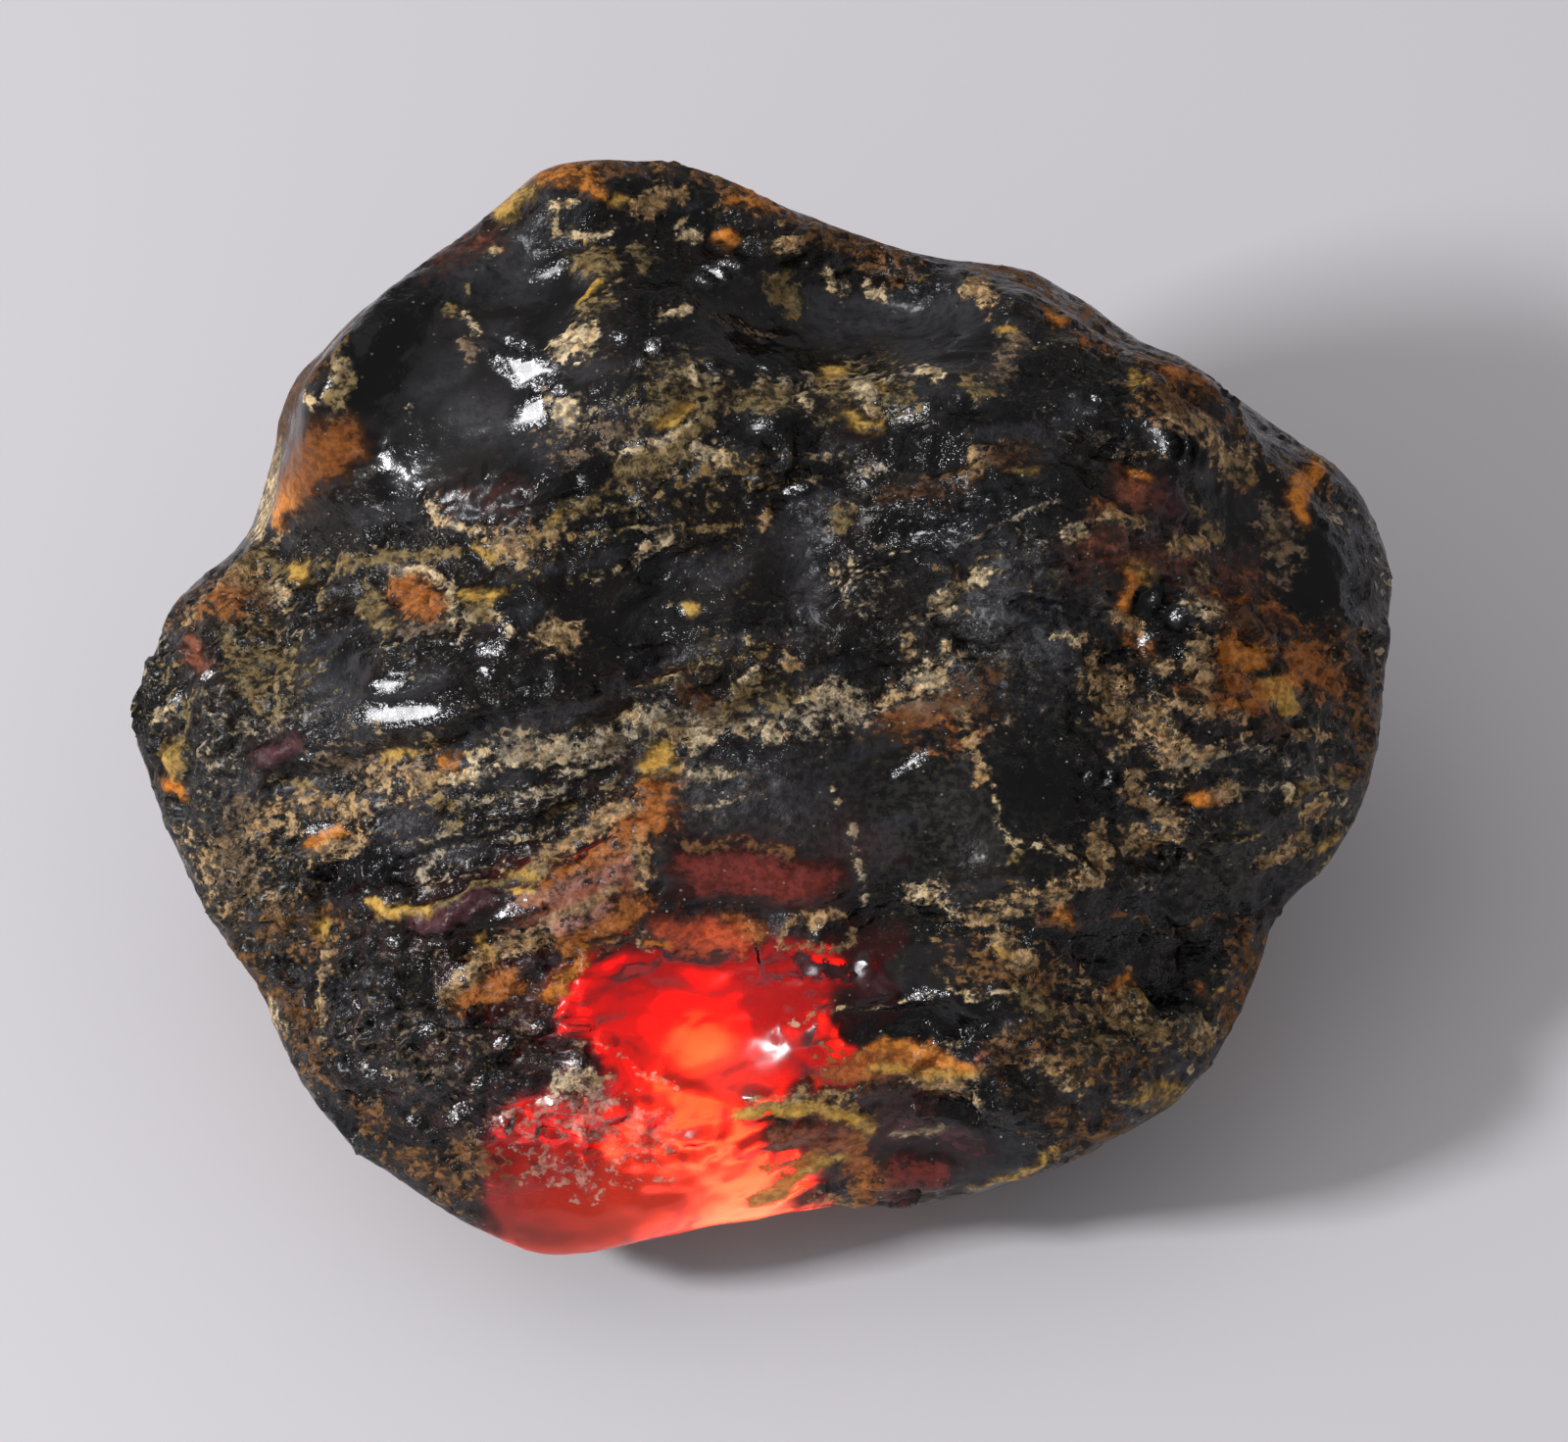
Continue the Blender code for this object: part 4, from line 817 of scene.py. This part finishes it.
def dress(surface):
    """Stores the masks that the material reads, and raises the fine relief."""
    hidden = 1 - surface.shown
    scooped = smooth((rough(surface.points, (8.0, 6.0, 6.0), 44) - 0.05) * 4) * hidden
    glossy = strokes(surface, GLOSSY) + 0.8 * scooped
    black = strokes(surface, BLACK)
    crust, tint, waxy = colour_marks(surface, np.maximum(smooth(glossy * 1.3), black))
    clear = strokes(surface, CLEAR) * (1 - 0.8 * black)
    dusty = strokes(surface, DUSTY)
    # Broad grey patches along the flow: rougher resin with a grey painted sheen
    thin_haze_and_sheen = 0.5 * smooth((rough(surface.flow, (3.2, 1.1, 1.6), 71) - 0.12) * 4)
    haze_and_painted_sheen = np.maximum(strokes(surface, HAZY_AND_PAINTED_SHEEN), thin_haze_and_sheen * (1 - black))
    streaked, lumpy = strokes(surface, STREAKED), strokes(surface, LUMPY)
    forward, cover = laid_facets(surface)
    crusted = smooth((crust - 0.3) / 0.4)
    plain = (1 - 0.85 * smooth(glossy * 1.3)) * (1 - 0.9 * cover)
    broken = plain * smooth(0.50 + 1.4 * rough(surface.points, 5.5, 51))

    flow = surface.flow
    scars = shells(flow, SCARS)
    small_scars = shells(flow + 30, SMALL_SCARS)
    heights = (scars - 0.35) * SCAR_HEIGHT * plain
    heights += (small_scars - 0.35) * SMALL_SCAR_HEIGHT * plain
    heights += chipped(flow, CHIPS) * CHIP_HEIGHT * broken
    heights += chipped(flow + 9, SMALL_CHIPS) * (SMALL_CHIP_HEIGHT + LUMPY_CHIP_HEIGHT * lumpy) * plain
    heights += (ridged(flow, STREAKS, 20) - 0.6) * STREAK_HEIGHT * streaked * (1 - cover)
    heights += (0.35 - shells(surface.points, LUMPS)) * LUMP_HEIGHT * lumpy * (1 - cover)
    grains = (0.3 - shells(surface.points, CRUST_GRAINS)) * GRAIN_HEIGHT * (1 - 0.6 * waxy)
    heights += (grains + CRUST_HEIGHT) * crusted
    heights += (shells(surface.points + 50, SCOOPS) - 0.3) * SCOOP_HEIGHT * hidden
    for height, half_width, route in RIDGES:
        heights += stroke(surface.wandered, height, half_width, route) * surface.shown
    # The outline that the camera sees is worn
    facing = surface.normals @ OUT
    heights *= 1 - 0.85 * np.exp(-(facing / np.where(facing < 0, 0.6, 0.35)) ** 2)
    from_frost = np.linalg.norm(surface.points[:, :2] - FROST_PLACE, axis=1) / FROST_RADIUS
    frost = smooth((-surface.normals[:, 2] - 0.2) / 0.4) * smooth((1.15 - from_frost) / 0.3)
    heights *= 1 - frost
    # The crust breaks up into threads and grains, and the ridges between scars are pale: partly rubbed
    # wear, partly a painted highlight along the crests
    vein = rough(flow, (2.0, 1.1, 1.3), 3) + 0.5 * rough(flow, (0.9, 0.55, 0.6), 3)
    threads = 1 - np.minimum(np.abs(vein) * 3, 1)
    rubbed_and_lit_crests = smooth((scars - 0.5) / 0.3) + 0.6 * smooth((small_scars - 0.55) / 0.3)
    crust += (0.36 * (threads - 0.35) + 0.26 * vein) * (1 - 0.6 * waxy) * smooth(crust * 4)
    crust += 0.26 * rubbed_and_lit_crests * plain * smooth(0.5 + 1.5 * rough(surface.points, 4.0, 33)) * (1 - waxy)
    surface.store("crust", (crust - 0.45 * black) * (1 - frost))
    surface.store_colour("tint", tint)
    surface.store("waxy", waxy)
    surface.store("clear", clear)
    surface.store("glossy", np.maximum(glossy, 0.7 * cover))
    surface.store("dusty", dusty * (1 - cover) * (1 - black))
    # Facets get a little grey painted sheen round their highlights
    surface.store("haze_and_painted_sheen", haze_and_painted_sheen * (1 - cover) + 0.15 * cover)
    surface.store("facet", cover)
    surface.store("uneven", (0.35 + 0.40 * broken + 0.9 * lumpy) * plain * (1 - cover) + 0.20 * cover)
    surface.store("frost", frost)
    blotch = 0.5 + 0.35 * rough(surface.points, 2.5, 12) + 0.15 * rough(surface.points, 0.9, 12)
    surface.store("blotch", (blotch - 0.3 * black) * (1 - cover) + 0.3 * cover)
    surface.move(heights, forward)


def make_body():
    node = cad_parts["amber_lump"]
    middle = lump_middle(node.data)
    mesh = even_copy(node, middle)
    dress(Surface(mesh, middle))
    body = bpy.data.objects.new("amber_body", mesh)
    bpy.context.scene.collection.objects.link(body)
    mesh.materials.append(raw_amber())
    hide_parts("amber_lump")
    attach(body, "root")
    return middle


# Materials

class Wiring:
    """Adds shader nodes to a material and links them."""

    def __init__(self, material):
        material.use_nodes = True
        self.tree = material.node_tree
        self.tree.nodes.clear()

    def node(self, kind, settings=None, **inputs):
        made = self.tree.nodes.new("ShaderNode" + kind)
        for name, value in (settings or {}).items():
            setattr(made, name, value)
        for name, value in inputs.items():
            self.feed(made.inputs[name.replace("_", " ")], value)
        return made

    def feed(self, socket, value):
        if isinstance(value, bpy.types.NodeSocket):
            self.tree.links.new(value, socket)
        else:
            socket.default_value = value

    def math(self, operation, a, b):
        made = self.node("Math", {"operation": operation})
        self.feed(made.inputs[0], a)
        self.feed(made.inputs[1], b)
        return made.outputs[0]

    def add(self, *values):
        total = values[0]
        for value in values[1:]:
            total = self.math("ADD", total, value)
        return total

    def times(self, a, b):
        return self.math("MULTIPLY", a, b)

    def less(self, a, b):
        return self.math("SUBTRACT", a, b)

    def span(self, value, low, high, to_low=0.0, to_high=1.0):
        """value carried smoothly from low..high to to_low..to_high."""
        made = self.node("MapRange", {"interpolation_type": "SMOOTHSTEP"}, Value=value)
        ends = {"From Min": low, "From Max": high, "To Min": to_low, "To Max": to_high}
        for name, number in ends.items():
            made.inputs[name].default_value = number
        return made.outputs["Result"]

    def mix(self, share, a, b):
        """Colour a where share is 0 and b where it is 1."""
        made = self.node("Mix", {"data_type": "RGBA"})
        self.feed(made.inputs["Factor"], share)
        self.feed(made.inputs["A"], a)
        self.feed(made.inputs["B"], b)
        return made.outputs["Result"]

    def blend(self, share, a, b):
        """Number a where share is 0 and b where it is 1."""
        made = self.node("Mix", Factor=share, A=a, B=b)
        return made.outputs["Result"]

    def vector(self, operation, a, b):
        made = self.node("VectorMath", {"operation": operation})
        self.feed(made.inputs[0], a)
        self.feed(made.inputs[1], b)
        return made.outputs[0]

    def scaled(self, colour, factor):
        made = self.node("VectorMath", {"operation": "SCALE"})
        self.feed(made.inputs[0], colour)
        self.feed(made.inputs["Scale"], factor)
        return made.outputs[0]

    def attribute(self, name):
        return self.node("Attribute", {"attribute_name": name}).outputs["Fac"]


def raw_amber():
    material = bpy.data.materials.new("raw amber")
    w = Wiring(material)
    where = w.node("TexCoord").outputs["Object"]
    crust, waxy, clear = w.attribute("crust"), w.attribute("waxy"), w.attribute("clear")
    glossy, dusty, haze_and_painted_sheen = w.attribute("glossy"), w.attribute("dusty"), w.attribute("haze_and_painted_sheen")
    blotch, frost = w.attribute("blotch"), w.attribute("frost")
    tint = w.node("Attribute", {"attribute_name": "tint"}).outputs["Color"]
    # Grit, grains of crust and chips of resin, longer along the lump than across it
    drawn_out = w.vector("MULTIPLY", where, (0.85, 1.0, 1.0))
    scale = GRAINS_PER_MM / MM
    gritty = w.node("TexNoise", Vector=drawn_out, Scale=scale, Detail=2.0, Roughness=0.65)
    grit = gritty.outputs["Fac"]
    grains = w.node("TexVoronoi", Vector=drawn_out, Scale=scale)
    random = w.node("SeparateColor", Color=grains.outputs["Color"]).outputs

    # Where the crust shows, with a ragged edge. Waxy parts are less ragged.
    raggedness = w.add(w.times(w.less(grit, 0.5), 2.1), w.times(w.less(random["Red"], 0.5), 0.55))
    raggedness = w.times(raggedness, w.span(crust, 0.0, 0.35, 0.65, 1.0))
    amount = w.add(crust, w.times(raggedness, w.span(waxy, 0, 1, 1.0, 0.35)))
    crusted = w.span(amount, 0.43, 0.72)

    # Pale dust caught on the surface, and partly painted glints: tiny pale specks that stand for
    # pinpoint glints
    dust_and_glints = w.times(w.span(random["Blue"], 0.8, 0.96), w.span(grains.outputs["Distance"], 0.22, 0.11))
    dust_and_glints = w.times(dust_and_glints, w.span(glossy, 0.3, 0.9, 1.0, 0.4))

    # Colours of what light doesn't pass through: dark film, honey stain round the crust, and the crust
    film = w.mix(w.span(blotch, 0.35, 0.65), SMOKY_FILM, WARM_FILM)
    film = w.mix(w.times(dusty, w.span(grit, 0.4, 0.66, 0.05, 1.0)), film, DUSTY_FILM)
    # Painted sheen: grey mixed into the film where it is hazy, standing for a soft reflection
    film = w.mix(w.times(haze_and_painted_sheen, w.span(grit, 0.3, 0.6, 0.4, 1.0)), film, PAINTED_SHEEN_FILM)
    film = w.mix(w.span(amount, 0.16, 0.5, 0.0, 0.9), film, w.scaled(tint, STAIN))
    grainy = w.times(w.span(random["Red"], 0.1, 0.9, 0.5, 1.4), w.span(grit, 0.38, 0.66, 0.58, 1.4))
    mottled = w.times(w.span(crust, 0.35, 1.05, 0.42, 1.36), w.span(grit, 0.38, 0.6, 0.68, 1.2))
    crust_colour = w.scaled(tint, w.blend(waxy, grainy, mottled))
    honey = w.vector("MULTIPLY", crust_colour, HONEY)
    crust_colour = w.mix(w.span(random["Green"], 0.5, 0.75, 0.0, 0.45), crust_colour, honey)
    colour = w.mix(crusted, film, crust_colour)
    colour = w.mix(w.times(dust_and_glints, 0.8), colour, DUST_AND_GLINTS)

    # The laid facets all face one way, and each other chip leans its own way. A vector mix has its
    # inputs at 4 and 5 and its result at 1.
    faced = tuple(CATCHING[0] * ACROSS + CATCHING[1] * UP + CATCHING[2] * OUT)
    normal = w.node("Mix", {"data_type": "VECTOR"})
    w.feed(normal.inputs[0], w.times(w.attribute("facet"), 0.8))
    w.feed(normal.inputs[4], w.node("NewGeometry").outputs["Normal"])
    w.feed(normal.inputs[5], faced)
    uneven = w.add(w.attribute("uneven"), w.times(crusted, w.span(waxy, 0, 1, 0.4, -0.2)))
    lean = w.scaled(w.vector("SUBTRACT", grains.outputs["Color"], (0.5, 0.5, 0.5)), uneven)
    leaning = w.vector("NORMALIZE", w.vector("ADD", normal.outputs[1], lean), (0, 0, 0))
    relief = w.times(grit, w.times(w.span(glossy, 0.2, 0.8, 1.0, 0.2), w.span(waxy, 0, 1, 1.0, 0.3)))
    outside_bump = w.node("Bump", Strength=0.8, Distance=0.2 * MM, Height=relief, Normal=leaning)
    matt = w.add(w.times(crusted, w.span(waxy, 0, 1, 0.65, 0.12)),
                 w.times(dusty, 0.25), w.times(haze_and_painted_sheen, 0.25))
    outside_roughness = w.add(matt, w.span(blotch, 0.2, 0.8, 0.11, 0.26))
    outside = w.node("BsdfPrincipled", Base_Color=colour, Roughness=outside_roughness,
                     IOR=FILM_IOR, Normal=outside_bump.outputs[0])

    # The resin, with a dark smoky skin that opens where it is clear
    clearness = w.span(w.add(clear, w.times(w.less(blotch, 0.5), 0.2)), 0.32, 0.7)
    opening = w.math("MAXIMUM", clearness, frost)
    skin = w.mix(w.span(blotch, 0.35, 0.7), DARK_SKIN, BROWN_SKIN)
    resin_colour = w.mix(opening, skin, CLEAR_RESIN)
    resin_roughness = w.add(w.span(blotch, 0.2, 0.8, 0.13, 0.24), w.times(haze_and_painted_sheen, 0.22))
    resin_roughness = w.math("MAXIMUM", resin_roughness, frost)
    resin = w.node("BsdfPrincipled", Base_Color=resin_colour, Roughness=resin_roughness,
                   IOR=RESIN_IOR, Transmission_Weight=1.0)

    # A thin dull film lies on the resin, except where it is clear
    veil = w.times(w.span(opening, 0.0, 1.0, 1.0, 0.0), w.span(glossy, 0.2, 0.9, 0.88, 0.72))
    # Crust on the clear patch is thin, so that it glows a little too
    crust_veil = w.times(crusted, w.span(w.less(clearness, waxy), 0.0, 1.0, 1.0, 0.6))
    dust_and_glint_veil = w.times(dust_and_glints, w.span(frost, 0, 1, 0.8, 0.0))
    opaque = w.math("MAXIMUM", w.math("MAXIMUM", crust_veil, veil), dust_and_glint_veil)
    surface = w.node("MixShader", Fac=opaque)
    w.tree.links.new(resin.outputs[0], surface.inputs[1])
    w.tree.links.new(outside.outputs[0], surface.inputs[2])
    # Red passes furthest through the resin
    absorbing = w.node("VolumeAbsorption", Color=PASSING_COLOUR, Density=ABSORPTION)
    w.node("OutputMaterial", Surface=surface.outputs[0], Volume=absorbing.outputs[0])
    return material


def plain_material(name, colour, roughness):
    material = bpy.data.materials.new(name)
    w = Wiring(material)
    shader = w.node("BsdfPrincipled", Base_Color=colour, Roughness=roughness)
    w.node("OutputMaterial", Surface=shader.outputs[0])
    return material


# Surroundings

def make_floor():
    bm = bmesh.new()
    bmesh.ops.create_grid(bm, x_segments=1, y_segments=1, size=FLOOR_HALF)
    mesh = bpy.data.meshes.new("floor")
    bm.to_mesh(mesh)
    bm.free()
    mesh.materials.append(plain_material("pale floor", FLOOR_COLOUR, FLOOR_ROUGHNESS))
    floor = bpy.data.objects.new("floor", mesh)
    bpy.context.scene.collection.objects.link(floor)


def look_from(obj, place, target):
    """Puts a lamp or the camera at place, looking at target, with its top up."""
    obj.location = place
    obj.rotation_euler = (Vector(target) - Vector(place)).to_track_quat("-Z", "Y").to_euler()


def area_light(name, shape, watts, colour):
    lamp = bpy.data.lights.new(name, "AREA")
    lamp.shape = shape
    lamp.energy = watts
    lamp.color = colour
    light = bpy.data.objects.new(name, lamp)
    bpy.context.scene.collection.objects.link(light)
    light.visible_camera = False
    return light


def soft_light(middle, name, azimuth, elevation, away, size, watts, colour):
    light = area_light(name, "RECTANGLE", watts, colour)
    light.data.size, light.data.size_y = size
    a, e = math.radians(azimuth), math.radians(elevation)
    way = Vector((math.sin(a) * math.cos(e), -math.cos(a) * math.cos(e), math.sin(e)))
    target = Vector(middle) * MM
    look_from(light, target + way * away, target)


def lamp_below(name, size, watts, place, colour):
    """Light from below that shines up through the clear patch. Size and place in mm."""
    light = area_light(name, "DISK", watts, colour)
    light.data.size = size * MM
    light.location = Vector(place) * MM
    light.rotation_euler = (math.pi, 0, 0)


def make_world():
    world = bpy.data.worlds.new("studio")
    world.use_nodes = True
    background = world.node_tree.nodes["Background"]
    background.inputs["Color"].default_value = ROOM_COLOUR
    background.inputs["Strength"].default_value = ROOM_STRENGTH
    bpy.context.scene.world = world


def make_camera(middle):
    data = bpy.data.cameras.new("camera")
    data.sensor_width = SENSOR_WIDTH
    data.lens = SENSOR_WIDTH * CAMERA_AWAY / FRAME_WIDTH
    data.clip_start, data.clip_end = CLIPPING
    camera = bpy.data.objects.new("camera", data)
    bpy.context.scene.collection.objects.link(camera)
    target = Vector(middle + AIM_ACROSS * ACROSS + AIM_UP * UP) * MM
    look_from(camera, target + Vector(OUT) * CAMERA_AWAY * MM, target)
    bpy.context.scene.camera = camera


middle = make_body()
make_floor()
make_world()
for row in SOFT_LIGHTS:
    soft_light(middle, *row)
for row in LAMPS_BELOW:
    lamp_below(*row)
make_camera(middle)
bpy.context.scene.view_settings.view_transform = "Standard"
